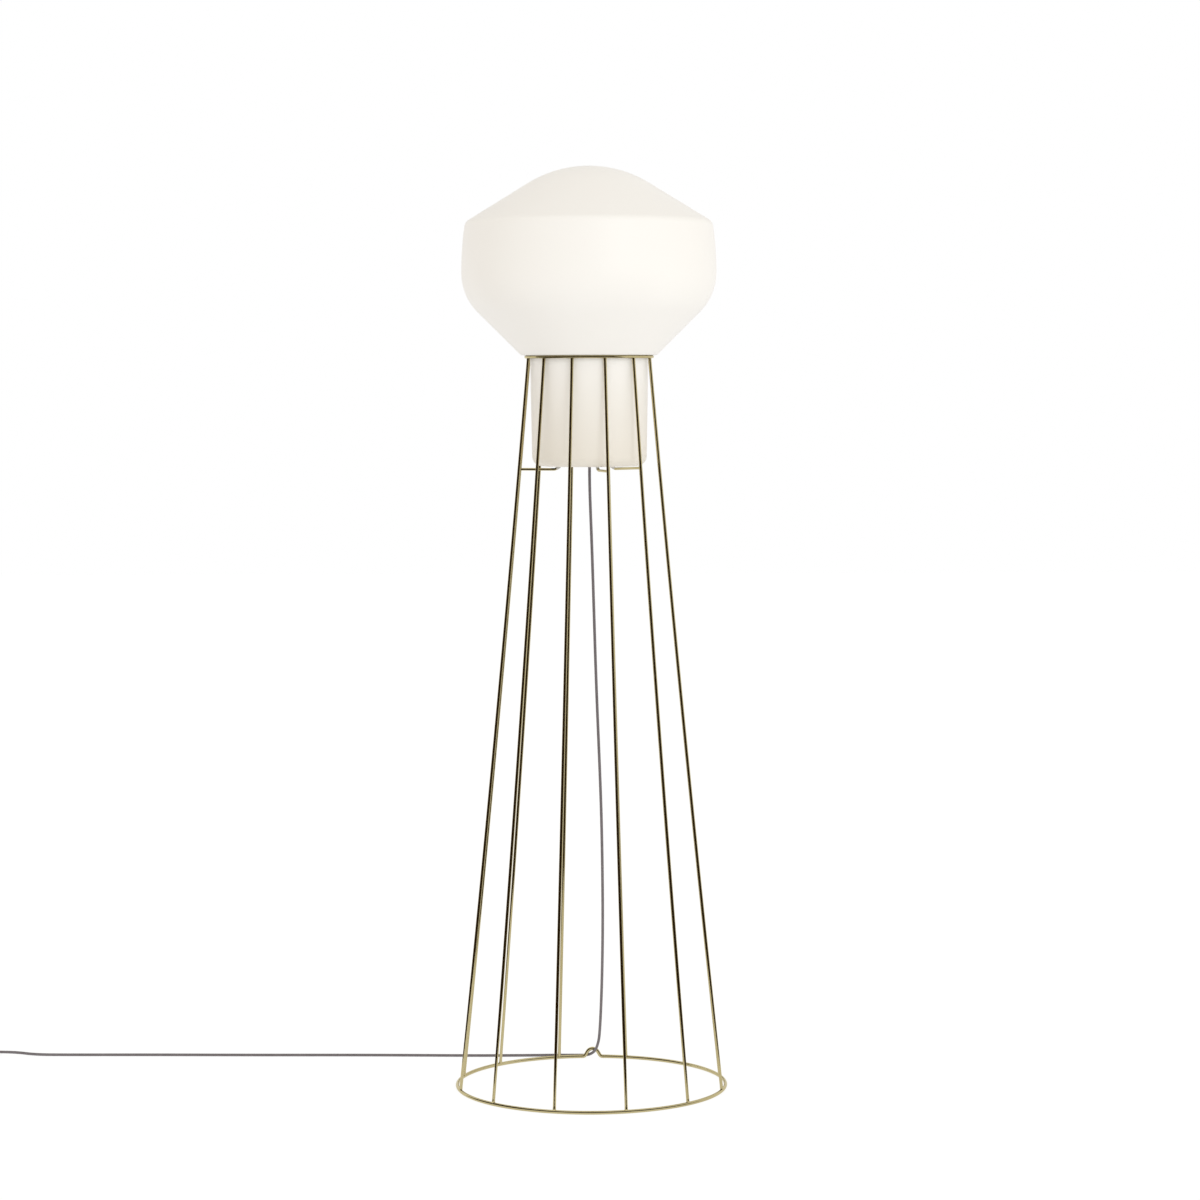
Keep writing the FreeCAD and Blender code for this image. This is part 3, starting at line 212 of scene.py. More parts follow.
def group_of(name, inputs, outputs):
    """An empty shader group with named sockets, and its two end nodes."""
    group = bpy.data.node_groups.new(name, "ShaderNodeTree")
    for label, kind, value in inputs:
        socket = group.interface.new_socket(label, in_out="INPUT", socket_type=kind)
        socket.default_value = value
    for label, kind in outputs:
        group.interface.new_socket(label, in_out="OUTPUT", socket_type=kind)
    return group, group.nodes.new("NodeGroupInput"), group.nodes.new("NodeGroupOutput")


def noise_node(tree, vector, scale, detail):
    """Noise whose place and scale come from other sockets."""
    noise = tree.nodes.new("ShaderNodeTexNoise")
    noise.inputs["Detail"].default_value = detail
    noise.inputs["Roughness"].default_value = NOISE_ROUGHNESS
    tree.links.new(vector, noise.inputs["Vector"])
    tree.links.new(scale, noise.inputs["Scale"])
    return noise


def stretched(tree, scale):
    """Object coordinates, stretched by a scale along each axis."""
    place = tree.nodes.new("ShaderNodeTexCoord")
    mapping = tree.nodes.new("ShaderNodeMapping")
    mapping.inputs["Scale"].default_value = scale
    tree.links.new(place.outputs["Object"], mapping.inputs["Vector"])
    return mapping.outputs["Vector"]


def made_cloudy_group():
    """Slow clouds between two colours, and the same clouds between two values."""
    group, start, end = group_of(
        "cloudy_tone",
        [
            ("Vector", "NodeSocketVector", (0, 0, 0)),
            ("Scale", "NodeSocketFloat", 12.0),
            ("Color A", "NodeSocketColor", (1, 1, 1, 1)),
            ("Color B", "NodeSocketColor", (1, 1, 1, 1)),
            ("Low", "NodeSocketFloat", 0.2),
            ("High", "NodeSocketFloat", 0.4),
        ],
        [("Color", "NodeSocketColor"), ("Value", "NodeSocketFloat")],
    )
    links = group.links
    vector, scale = start.outputs["Vector"], start.outputs["Scale"]
    noise = noise_node(group, vector, scale, CLOUD_DETAIL)
    spread = group.nodes.new("ShaderNodeMapRange")
    spread.inputs["From Min"].default_value = CLOUD_EDGES[0]
    spread.inputs["From Max"].default_value = CLOUD_EDGES[1]
    mix = group.nodes.new("ShaderNodeMix")
    mix.data_type = "RGBA"
    value = group.nodes.new("ShaderNodeMapRange")
    links.new(noise.outputs["Fac"], spread.inputs["Value"])
    links.new(spread.outputs["Result"], mix.inputs["Factor"])
    links.new(start.outputs["Color A"], mix.inputs["A"])
    links.new(start.outputs["Color B"], mix.inputs["B"])
    links.new(mix.outputs["Result"], end.inputs["Color"])
    links.new(spread.outputs["Result"], value.inputs["Value"])
    links.new(start.outputs["Low"], value.inputs["To Min"])
    links.new(start.outputs["High"], value.inputs["To Max"])
    links.new(value.outputs["Result"], end.inputs["Value"])
    return group


def made_relief_group():
    """A fine relief: noise of a given scale and depth, as a bumped normal."""
    group, start, end = group_of(
        "fine_relief",
        [
            ("Vector", "NodeSocketVector", (0, 0, 0)),
            ("Scale", "NodeSocketFloat", 400.0),
            ("Strength", "NodeSocketFloat", 0.2),
            ("Distance", "NodeSocketFloat", 0.0002),
        ],
        [("Normal", "NodeSocketVector")],
    )
    vector, scale = start.outputs["Vector"], start.outputs["Scale"]
    noise = noise_node(group, vector, scale, RELIEF_DETAIL)
    bump = group.nodes.new("ShaderNodeBump")
    group.links.new(noise.outputs["Fac"], bump.inputs["Height"])
    group.links.new(start.outputs["Strength"], bump.inputs["Strength"])
    group.links.new(start.outputs["Distance"], bump.inputs["Distance"])
    group.links.new(bump.outputs["Normal"], end.inputs["Normal"])
    return group


CLOUDY = made_cloudy_group()
RELIEF = made_relief_group()


def finish(
    name,
    tones,
    shine,
    cloud_scale,
    stretch=(1, 1, 1),
    relief=None,
    metallic=0.0,
    sockets=None,
):
    """A surface finish: clouds between two tones and two roughnesses, and a fine relief.

    relief is (scale, strength, distance), and sockets holds values for other sockets of the
    shader, by their names.
    """
    material = bpy.data.materials.new(name)
    material.use_nodes = True
    tree = material.node_tree
    shader = tree.nodes["Principled BSDF"]
    shader.inputs["Metallic"].default_value = metallic
    for label, value in (sockets or {}).items():
        shader.inputs[label].default_value = value
    vector = stretched(tree, stretch)
    clouds = tree.nodes.new("ShaderNodeGroup")
    clouds.node_tree = CLOUDY
    clouds.inputs["Scale"].default_value = cloud_scale
    clouds.inputs["Color A"].default_value = (*tones[0], 1)
    clouds.inputs["Color B"].default_value = (*tones[1], 1)
    clouds.inputs["Low"].default_value = shine[0]
    clouds.inputs["High"].default_value = shine[1]
    tree.links.new(vector, clouds.inputs["Vector"])
    tree.links.new(clouds.outputs["Color"], shader.inputs["Base Color"])
    tree.links.new(clouds.outputs["Value"], shader.inputs["Roughness"])
    if relief:
        bumps = tree.nodes.new("ShaderNodeGroup")
        bumps.node_tree = RELIEF
        for label, value in zip(("Scale", "Strength", "Distance"), relief):
            bumps.inputs[label].default_value = value
        tree.links.new(vector, bumps.inputs["Vector"])
        tree.links.new(bumps.outputs["Normal"], shader.inputs["Normal"])
    return material


cage_brass = finish(
    "pale_brass_plate",
    ((0.55, 0.48, 0.27), (0.47, 0.40, 0.21)),
    (0.07, 0.12),
    cloud_scale=9.0,
    stretch=(1, 1, 0.25),
    metallic=1.0,
    sockets={"Specular Tint": (0.92, 0.88, 0.76, 1)},
)
opal_glass = finish(
    "opal_glass",
    ((0.945, 0.935, 0.915), (0.937, 0.925, 0.902)),
    (0.38, 0.46),
    cloud_scale=5.0,
    sockets={"IOR": 1.45},
)
cord_sheath = finish(
    "grey_cord_sheath",
    ((0.185, 0.165, 0.176), (0.160, 0.142, 0.152)),
    (0.34, 0.46),
    cloud_scale=60.0,
    relief=(1500.0, 0.2, 0.00005),
)
FINISHES = {
    "cage_wire": cage_brass,
    "opal_glass": opal_glass,
    "cord_sheath": cord_sheath,
    "clear_cap": finish(
        "cloudy_silicone", ((0.62, 0.60, 0.57), (0.55, 0.53, 0.50)), (0.35, 0.5), 200.0
    ),
    "white_steel": finish(
        "white_powder_coat",
        ((0.88, 0.88, 0.86), (0.84, 0.84, 0.82)),
        (0.42, 0.55),
        30.0,
        relief=(900.0, 0.3, 0.0001),
    ),
    "zinc_steel": finish(
        "bright_zinc",
        ((0.66, 0.66, 0.64), (0.58, 0.58, 0.57)),
        (0.24, 0.42),
        120.0,
        relief=(1200.0, 0.15, 0.00005),
        metallic=1.0,
    ),
    "holder_plastic": finish(
        "white_moulding",
        ((0.86, 0.85, 0.82), (0.83, 0.82, 0.79)),
        (0.38, 0.48),
        40.0,
        relief=(1600.0, 0.2, 0.00005),
    ),
    "insert_ceramic": finish(
        "steatite",
        ((0.88, 0.86, 0.80), (0.82, 0.80, 0.74)),
        (0.6, 0.8),
        90.0,
        relief=(1100.0, 0.4, 0.0001),
    ),
    "contact_brass": finish(
        "spring_brass",
        ((0.76, 0.63, 0.36), (0.66, 0.52, 0.28)),
        (0.25, 0.4),
        150.0,
        relief=(1400.0, 0.15, 0.00005),
        metallic=1.0,
    ),
    "cap_nickel": finish(
        "nickel_cap",
        ((0.70, 0.69, 0.66), (0.62, 0.61, 0.58)),
        (0.2, 0.34),
        150.0,
        relief=(1400.0, 0.15, 0.00005),
        metallic=1.0,
    ),
    "cap_insulator": finish(
        "black_insulator", ((0.035, 0.035, 0.04), (0.05, 0.05, 0.055)), (0.12, 0.25), 200.0
    ),
    "bulb_white": finish(
        "bulb_moulding",
        ((0.88, 0.88, 0.87), (0.85, 0.85, 0.84)),
        (0.3, 0.4),
        50.0,
        relief=(1500.0, 0.15, 0.00005),
    ),
    "led_board": finish(
        "white_board", ((0.86, 0.86, 0.84), (0.8, 0.8, 0.78)), (0.4, 0.6), 90.0
    ),
    "bulb_opal": finish(
        "frosted_bulb", ((0.92, 0.91, 0.89), (0.9, 0.89, 0.87)), (0.45, 0.55), 40.0
    ),
    "core_brown": finish(
        "brown_core", ((0.22, 0.10, 0.04), (0.18, 0.08, 0.03)), (0.4, 0.5), 200.0
    ),
    "core_blue": finish(
        "blue_core", ((0.03, 0.12, 0.42), (0.02, 0.1, 0.36)), (0.4, 0.5), 200.0
    ),
    "tie_cloth": finish(
        "loop_tape",
        ((0.035, 0.035, 0.036), (0.055, 0.055, 0.057)),
        (0.85, 0.95),
        900.0,
        relief=(2600.0, 1.0, 0.0004),
    ),
    "switch_plastic": finish(
        "grey_moulding",
        ((0.105, 0.10, 0.104), (0.09, 0.086, 0.09)),
        (0.36, 0.48),
        60.0,
        relief=(2200.0, 0.35, 0.0001),
    ),
    "switch_button": finish(
        "grey_button",
        ((0.12, 0.115, 0.12), (0.105, 0.10, 0.105)),
        (0.26, 0.38),
        60.0,
        relief=(2200.0, 0.15, 0.0001),
    ),
    "switch_inner": finish(
        "contact_block", ((0.78, 0.77, 0.73), (0.72, 0.71, 0.67)), (0.5, 0.6), 90.0
    ),
    "pin_nickel": finish(
        "nickel_pin",
        ((0.72, 0.71, 0.68), (0.64, 0.63, 0.60)),
        (0.12, 0.28),
        120.0,
        relief=(1800.0, 0.1, 0.00005),
        metallic=1.0,
    ),
    "sleeve_black": finish(
        "black_sleeve", ((0.02, 0.02, 0.02), (0.035, 0.035, 0.035)), (0.4, 0.5), 200.0
    ),
}

for part in frame["record"]["subparts"]:
    for spot in frame["nodes"][part["node"]].material_slots:
        spot.material = FINISHES[part["material_slot"]]

# ---------------------------------------------------------------- the cage of wire

BASE_RADIUS, BASE_WIRE = 0.185, 0.0025
TOP_RADIUS, TOP_WIRE, TOP_HEIGHT = 0.0865, 0.002, 1.004
RING_SIDES, BASE_ROWS, TOP_ROWS = 24, 362, 240
UPRIGHTS, FIRST_UPRIGHT = 12, 15  # how many, and the first one's angle from the front
UPRIGHT_WIRE, UPRIGHT_HEAD, UPRIGHT_HEAD_RISE = 0.0021, 0.085, 0.0005
UPRIGHT_BOW, UPRIGHT_END, UPRIGHT_ROWS = 0.0026, 0.020, 36
WELD_LENGTH, WELD_SWELL = 0.0035, 0.0002
WELD_ROWS = np.array([0.0, 1.0, 2.0, 3.0, 4.0, 5.5, 7.5]) / 1000
ARCH_FOOT, ARCH_TOP, ARCH_RISE, ARCH_FOOT_BEND = 0.0115, 0.005, 0.0113, 0.005


def ring_path(radius, height, steps):
    """A level circle: (radius * sin t, -radius * cos t, height)."""
    t = np.linspace(0, 2 * math.pi, steps, endpoint=False)
    return np.stack([radius * np.sin(t), -radius * np.cos(t), np.full(steps, height)], -1)


def floor_ring_path():
    """The floor circle, whose rear bends up into an arch: two slopes and a round top.

    The circle is (radius * sin t, -radius * cos t). The arch lies in an upright plane,
    where every bend is an arc tangent to its two sides, and its top touches its height.
    """
    lean = math.atan2(ARCH_RISE, ARCH_FOOT - ARCH_TOP)
    foot = rounded_corner(
        (2 * ARCH_FOOT, 0), (ARCH_FOOT, 0), (ARCH_TOP, ARCH_RISE), ARCH_FOOT_BEND, steps=12
    )
    slope_end = np.array(
        [ARCH_TOP * (1 + math.cos(lean)), ARCH_RISE - ARCH_TOP * math.sin(lean)]
    )
    mirrored = np.array([-1, 1])
    crown_radius = ARCH_TOP / math.tan(lean / 2)
    crown = arc_points(slope_end, slope_end * mirrored, -crown_radius, steps=20)
    slope = straight(foot[-1], slope_end, steps=3)
    arch = np.vstack([foot, slope, crown, slope[::-1] * mirrored, foot[::-1] * mirrored])
    reach = foot[0, 0]
    opening = math.asin(reach / BASE_RADIUS)
    t = np.linspace(math.pi + opening, 3 * math.pi - opening, BASE_ROWS)[1:-1]
    circle = np.stack(
        [BASE_RADIUS * np.sin(t), -BASE_RADIUS * np.cos(t), np.full(len(t), BASE_WIRE)], -1
    )
    plane = np.full(len(arch), math.sqrt(BASE_RADIUS**2 - reach**2))
    return np.vstack([np.stack([arch[:, 0], plane, BASE_WIRE + arch[:, 1]], -1), circle])


def closed_wire(name, path, radius, node):
    """A wire bent to a closed ring, which stands for one node."""
    points = wire_points(path, radius, UP, RING_SIDES, closed=True)
    faces = grid_faces(len(path), RING_SIDES, rows_meet=True)
    mesh = bpy.data.meshes.new(name)
    mesh.from_pydata(points.tolist(), [], faces.tolist())
    piece = finish_mesh(mesh, name, "stand", cage_brass)
    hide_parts(node)


closed_wire("floor_ring", floor_ring_path(), BASE_WIRE, "base_ring")
closed_wire(
    "collar_ring", ring_path(TOP_RADIUS, TOP_HEIGHT, TOP_ROWS), TOP_WIRE, "top_ring"
)


def bowed(along_chord, half):
    """How far the wire lies inside its chord: an arc between two straight, slanting ends.

    With x from the chord's middle, the arc is depth - R + sqrt(R^2 - x^2), and each end is
    (half - |x|) * tan(slant). R and the slant are those that join the two without a bend.
    """
    slant = UPRIGHT_BOW / (UPRIGHT_END + (half - UPRIGHT_END) / 2)
    reach = half - UPRIGHT_END * math.cos(slant)
    radius = reach / math.sin(slant)
    depth = UPRIGHT_END * math.sin(slant) + radius * (1 - math.cos(slant))
    arc = depth - radius + np.sqrt(radius**2 - np.minimum(np.abs(along_chord), reach) ** 2)
    ends = (half - np.abs(along_chord)) * math.tan(slant)
    return np.where(np.abs(along_chord) < reach, arc, ends)


def made_upright(number):
    """A bowed wire, whose radius grows at each weld by swell * exp(-(s / length)^2)."""
    angle = math.radians(FIRST_UPRIGHT + 360 / UPRIGHTS * (number - 1))
    across = np.array([math.sin(angle), -math.cos(angle), 0])
    foot = across * BASE_RADIUS + (0, 0, BASE_WIRE)
    head = across * UPRIGHT_HEAD + (0, 0, TOP_HEIGHT + UPRIGHT_HEAD_RISE)
    length = np.linalg.norm(head - foot)
    along = (head - foot) / length
    inward = unit(along * (across @ along) - across)
    middle = np.linspace(UPRIGHT_END, length - UPRIGHT_END, UPRIGHT_ROWS)
    s = np.hstack([WELD_ROWS, middle, length - WELD_ROWS[::-1]])
    bow = bowed(s - length / 2, length / 2)
    path = foot + s[:, None] * along + bow[:, None] * inward
    swell = np.exp(-((s - BASE_WIRE) / WELD_LENGTH) ** 2)
    swell += np.exp(-((length - s - TOP_WIRE) / WELD_LENGTH) ** 2)
    label = f"upright_{number:02d}"
    side = np.cross(across, UP)
    radius = UPRIGHT_WIRE + WELD_SWELL * swell
    piece = tube_piece(
        f"wire_{label}", path, radius, side, "stand", cage_brass
    )
    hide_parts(label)


for number in range(1, UPRIGHTS + 1):
    made_upright(number)

# ---------------------------------------------------------------- the opal glass shade

# The profile's corners are (radius, height). The dome, the two bulges and the rounding of
# each corner have a radius of their own.
GLASS, SHADE_SIDES = 0.003, 160
LIP_ROUND = GLASS / 2 * 1.001  # a hair over half the wall, so that its arc spans the wall
POLE_RADIUS = 1e-6  # as good as on the axis, where the dome begins
SHADE_TOP, DOME_RADIUS, ROOF_EDGE = 1.2627, 0.158, 0.0828
SHOULDER, SHOULDER_ROUND = (0.1684, 1.1866), 0.012
BELLY_TOP, BELLY, SIDE_BULGE, UNDER_BULGE = (0.1694, 1.1780), (0.1735, 1.1180), 0.439, 0.075
NECK_TOP, NECK_FOOT = 1.0063, 0.8557
CONE_TOP, LEDGE, LEDGE_ROUND = (0.1515, 1.0650), (0.0926, NECK_TOP), 0.0055
NECK_HEAD, NECK_ROUND = (0.0806, NECK_TOP), 0.0018
NECK_END, FOOT_ROUND = (0.0780, NECK_FOOT), 0.0135
MOUTH, LIP_START = (0.0540, NECK_FOOT), (0.0552, NECK_FOOT)
# Painted shadow: the warm tone that the neck's glass is multiplied by at its foot.
NECK_PAINTED_SHADOW = (0.90, 0.865, 0.80, 1)


def shade_profile():
    """The shade's outer profile from the top down, as (radius, height) points.

    A ball's cap, a straight roof, a round shoulder, two bulging sides, a straight cone, a
    ledge, a neck that narrows a little, and a foot that turns in to the mouth.
    """
    centre = SHADE_TOP - DOME_RADIUS
    roof_edge = (ROOF_EDGE, centre + math.sqrt(DOME_RADIUS**2 - ROOF_EDGE**2))
    dome = arc_points((POLE_RADIUS, SHADE_TOP), roof_edge, DOME_RADIUS, steps=34)
    shoulder_bend = rounded_corner(roof_edge, SHOULDER, BELLY_TOP, SHOULDER_ROUND, steps=9)
    side = arc_points(BELLY_TOP, BELLY, SIDE_BULGE, steps=14)
    under = arc_points(BELLY, CONE_TOP, UNDER_BULGE, steps=16)
    ledge_bend = rounded_corner(CONE_TOP, LEDGE, NECK_HEAD, LEDGE_ROUND, steps=9)
    neck_bend = rounded_corner(LEDGE, NECK_HEAD, NECK_END, NECK_ROUND, steps=6)
    foot_bend = rounded_corner(NECK_HEAD, NECK_END, MOUTH, FOOT_ROUND, steps=12)
    return np.vstack(
        [
            dome,
            straight(dome[-1], shoulder_bend[0], steps=16),
            shoulder_bend,
            side,
            under[1:],
            straight(under[-1], ledge_bend[0], steps=12),
            ledge_bend,
            neck_bend,
            straight(neck_bend[-1], foot_bend[0], steps=24),
            foot_bend,
            straight(foot_bend[-1], LIP_START, steps=3),
        ]
    )


def made_shade():
    """Glass between the profile and the same profile moved inwards, with a round lip."""
    outer = shade_profile()
    inner = offset_inward(outer, GLASS)
    lip = arc_points(outer[-1], inner[-1], LIP_ROUND, steps=8)[1:-1]
    inner[0, 0] = outer[0, 0]
    profile = np.vstack([outer, lip, inner[::-1]])
    points = turned_points(profile, SHADE_SIDES)
    faces = grid_faces(len(profile), SHADE_SIDES)
    mesh = bpy.data.meshes.new("opal_shade")
    top_pole = list(range(SHADE_SIDES))[::-1]
    inner_pole = list(range(len(points) - SHADE_SIDES, len(points)))
    mesh.from_pydata(points.tolist(), [], faces.tolist() + [top_pole, inner_pole])
    piece = finish_mesh(mesh, "opal_shade", "shade", opal_glass)
    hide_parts("shade_glass")


def paint_neck_shadow(material):
    """Painted shadow, darker down the neck, where the light unit dims the glass."""
    tree = material.node_tree
    shader = tree.nodes["Principled BSDF"]
    tone = shader.inputs["Base Color"].links[0].from_socket
    parts = tree.nodes.new("ShaderNodeSeparateXYZ")
    tree.links.new(stretched(tree, (1, 1, 1)), parts.inputs["Vector"])
    share = tree.nodes.new("ShaderNodeMapRange")
    share.inputs["From Min"].default_value = NECK_TOP
    share.inputs["From Max"].default_value = NECK_FOOT
    tree.links.new(parts.outputs["Z"], share.inputs["Value"])
    painted_shadow = tree.nodes.new("ShaderNodeMix")
    painted_shadow.data_type, painted_shadow.blend_type = "RGBA", "MULTIPLY"
    painted_shadow.inputs["B"].default_value = NECK_PAINTED_SHADOW
    tree.links.new(share.outputs["Result"], painted_shadow.inputs["Factor"])
    tree.links.new(tone, painted_shadow.inputs["A"])
    tree.links.new(painted_shadow.outputs["Result"], shader.inputs["Base Color"])


# Painted shadow on the neck's glass, darker towards its foot.
paint_neck_shadow(opal_glass)
made_shade()

# ---------------------------------------------------------------- the cord

CORD = 0.004
DROP_ROUTE = [
    (0.0, 0.0, 0.8570),
    (0.0, 0.0, 0.8330),
    (0.0009, 0.0042, 0.8000),
    (0.0024, 0.0115, 0.7570),
    (0.0039, 0.0205, 0.7050),
    (0.0053, 0.0305, 0.6500),
    (0.0067, 0.0415, 0.5950),
    (0.0083, 0.0535, 0.5400),
    (0.0102, 0.0660, 0.4850),
    (0.0122, 0.0790, 0.4300),
    (0.0139, 0.0920, 0.3750),
    (0.0149, 0.1050, 0.3200),
    (0.0154, 0.1178, 0.2650),
    (0.0155, 0.1300, 0.2120),
    (0.0149, 0.1413, 0.1620),
    (0.0138, 0.1516, 0.1160),
    (0.0123, 0.1604, 0.0760),
    (0.0106, 0.1678, 0.0440),
    (0.0088, 0.1720, 0.0260),
    (0.0036, 0.1786, 0.0110),
    (-0.0060, 0.1894, 0.0032),
    (-0.0220, 0.1960, 0.0020),
]
FLOOR_ROUTE = [
    (-0.0390, 0.1960, 0.0020),
    (-0.0570, 0.1960, 0.0020),
    (-0.0920, 0.1944, 0.0020),
    (-0.1460, 0.1932, 0.0020),
    (-0.2040, 0.1942, 0.0020),
    (-0.2620, 0.1964, 0.0020),
    (-0.3180, 0.1980, 0.0020),
    (-0.3740, 0.1988, 0.0020),
    (-0.4300, 0.1992, 0.0020),
    (-0.4860, 0.1998, 0.0020),
    (-0.5420, 0.2008, 0.0020),
    (-0.5980, 0.2020, 0.0020),
    (-0.6540, 0.2029, 0.0020),
    (-0.7100, 0.2032, 0.0020),
    (-0.7620, 0.2037, 0.0020),
    (-0.8060, 0.2046, 0.0022),
    (-0.8360, 0.2050, 0.0060),
    (-0.8620, 0.2050, 0.0060),
]
COIL_CENTRE = np.array([-0.932, 0.126, 0.0028])
COIL_TURNS, COIL_INNER, COIL_GAP = 6.5, 0.01595, 0.0046
COIL_CLIMB, COIL_STEPS, COIL_LEAD = 0.5, 16, 0.004
SWITCH_END, SWITCH_Y, RELIEF_HEIGHT = -0.982, 0.205, 0.006
LEAD_NEAR, LEAD_FAR = SWITCH_END - 0.0175, SWITCH_END - 0.0315
PLUG_X, PLUG_Y, PLUG_MIDDLE = -1.016, 0.0951, 0.00685


def coil_points():
    """The put-away length, wound clockwise: angle = 90 - 360 * turn degrees.

    The radius shrinks by one gap a turn to the middle turn and grows again after it. The
    height climbs one gap in the half turn about the middle, as 3 c^2 - 2 c^3.
    """
    turn = np.linspace(0, COIL_TURNS, int(COIL_TURNS * COIL_STEPS) + 1)
    half = COIL_TURNS / 2
    radius = COIL_INNER + COIL_GAP * np.abs(turn - half)
    climb = np.clip((turn - half + COIL_CLIMB / 2) / COIL_CLIMB, 0, 1)
    angle = math.pi / 2 - 2 * math.pi * turn
    rise = COIL_GAP * climb**2 * (3 - 2 * climb)
    spiral = np.stack([radius * np.cos(angle), radius * np.sin(angle), rise], -1)
    return COIL_CENTRE + spiral


def plug_lead_route():
    """Out of the switch, round half a circle of tangent runs, the coil, and to the plug."""
    coil = coil_points()
    entry = coil[0] - (COIL_LEAD, 0, 0)
    leave = coil[-1] - (COIL_LEAD, 0, 0)
    bend = (SWITCH_Y - entry[1]) / 2
    side = bend * math.tan(math.pi / 8)
    lead = [
        (SWITCH_END, SWITCH_Y, RELIEF_HEIGHT),
        (LEAD_NEAR, SWITCH_Y, RELIEF_HEIGHT),
        (LEAD_FAR, SWITCH_Y - bend + side, 0.0032),
        (LEAD_FAR, SWITCH_Y - bend - side, 0.0022),
        (LEAD_NEAR, entry[1] - 0.0003, 0.0020),
        (SWITCH_END + 0.0040, entry[1] - 0.0004, 0.0023),
        (SWITCH_END + 0.0240, entry[1], entry[2]),
        tuple(entry),
    ]
    end = [
        tuple(leave),
        (leave[0] - 0.017, leave[1], leave[2]),
        (leave[0] - 0.038, leave[1] - 0.0008, 0.0070),
        (PLUG_X + 0.015, PLUG_Y, PLUG_MIDDLE),
        (PLUG_X, PLUG_Y, PLUG_MIDDLE),
    ]
    return lead + [tuple(p) for p in coil] + end


def made_cord(name, route, nodes):
    """A round cord on one smooth spline, whose control points are those of its route."""
    curve = bpy.data.curves.new(name, "CURVE")
    curve.dimensions = "3D"
    curve.bevel_depth = CORD / 2
    curve.bevel_resolution = 6
    curve.resolution_u = 10
    curve.use_fill_caps = True
    spline = curve.splines.new("NURBS")
    spline.points.add(len(route) - 1)
    spline.points.foreach_set("co", [v for p in route for v in (*p, 1.0)])
    spline.order_u = 3
    spline.use_endpoint_u = True
    curve.materials.append(cord_sheath)
    obj = bpy.data.objects.new(name, curve)
    bpy.context.scene.collection.objects.link(obj)
    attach(obj, "stand")
    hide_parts(*nodes)
    return obj


BUTTON_X, BUTTON_TRAVEL = -0.922, 0.003
SPRING_WIRE, SPRING_RADIUS, SPRING_TURNS, SPRING_STEPS = 0.00045, 0.0034, 4, 32
SPRING_SEAT, SPRING_FOOT, SPRING_TOP = 0.0076, 0.00807, 0.01353


def spring_path():
    """A helix about the button's axis: radius * (cos t, sin t), climbing evenly with t."""
    t = np.linspace(0, 2 * math.pi * SPRING_TURNS, SPRING_STEPS * SPRING_TURNS + 1)
    climb = np.linspace(SPRING_FOOT, SPRING_TOP, len(t))
    x, y = SPRING_RADIUS * np.cos(t), SPRING_RADIUS * np.sin(t)
    return np.stack([BUTTON_X + x, SWITCH_Y + y, climb], -1)


spring = tube_piece(
    "button_spring",
    spring_path(),
    SPRING_WIRE,
    UP,
    "stand",
    FINISHES["zinc_steel"],
    around=12,
)
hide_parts("footswitch_spring")
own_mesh(spring)

lamp_cord = made_cord("lamp_cord", DROP_ROUTE + FLOOR_ROUTE, ["cord_drop", "cord_floor"])
plug_cord = made_cord(
    "plug_cord",
    plug_lead_route(),
    ["cord_switch_to_coil", "cord_coil", "cord_coil_to_plug"],
)

# ---------------------------------------------------------------- floor and light

# The light from all sides, and from overhead.
WORLD_AROUND, WORLD_ABOVE = (1.13, 1.075, 1.0), (0.66, 0.63, 0.58)
# How much of the floor glows, for rays that light the lamp and for those that show it.
FLOOR_WHITE, FLOOR_GLOW = (0.35, 0.86), 1.065
FLOOR_TONE, FLOOR_REACH = (0.92, 0.92, 0.92, 1), 12.0
SCREEN_TONE, SCREEN_COLUMNS = (0.030, 0.015, 0.005), 40
SCREEN_ROWS = [
    (0.55, 0.015, -112, 92),
    (0.80, 0.40, -110, 74),
    (1.10, 1.00, -106, 52),
    (1.90, 2.60, -100, 38),
]
KEY_PLACE, KEY_TARGET, KEY_SIZE = (1.7, -3.2, 1.9), (0, 0, 1.0), (1.6, 2.2)
KEY_POWER, KEY_TONE = 24, (0.88, 0.95, 1.0)


def staged(name, points, faces, material):
    """A piece of the studio, which is no part of the lamp."""
    mesh = bpy.data.meshes.new(name)
    mesh.from_pydata(points, [], faces)
    mesh.materials.append(material)
    obj = bpy.data.objects.new(name, mesh)
    bpy.context.scene.collection.objects.link(obj)
    return obj


def seen_rays(tree):
    """1 for a camera ray, a mirrored one or one that passed through, and 0 for the rest."""
    path = tree.nodes.new("ShaderNodeLightPath")
    value = path.outputs["Is Camera Ray"]
    for label in ("Is Glossy Ray", "Is Transmission Ray"):
        largest = tree.nodes.new("ShaderNodeMath")
        largest.operation = "MAXIMUM"
        tree.links.new(value, largest.inputs[0])
        tree.links.new(path.outputs[label], largest.inputs[1])
        value = largest.outputs[0]
    return value


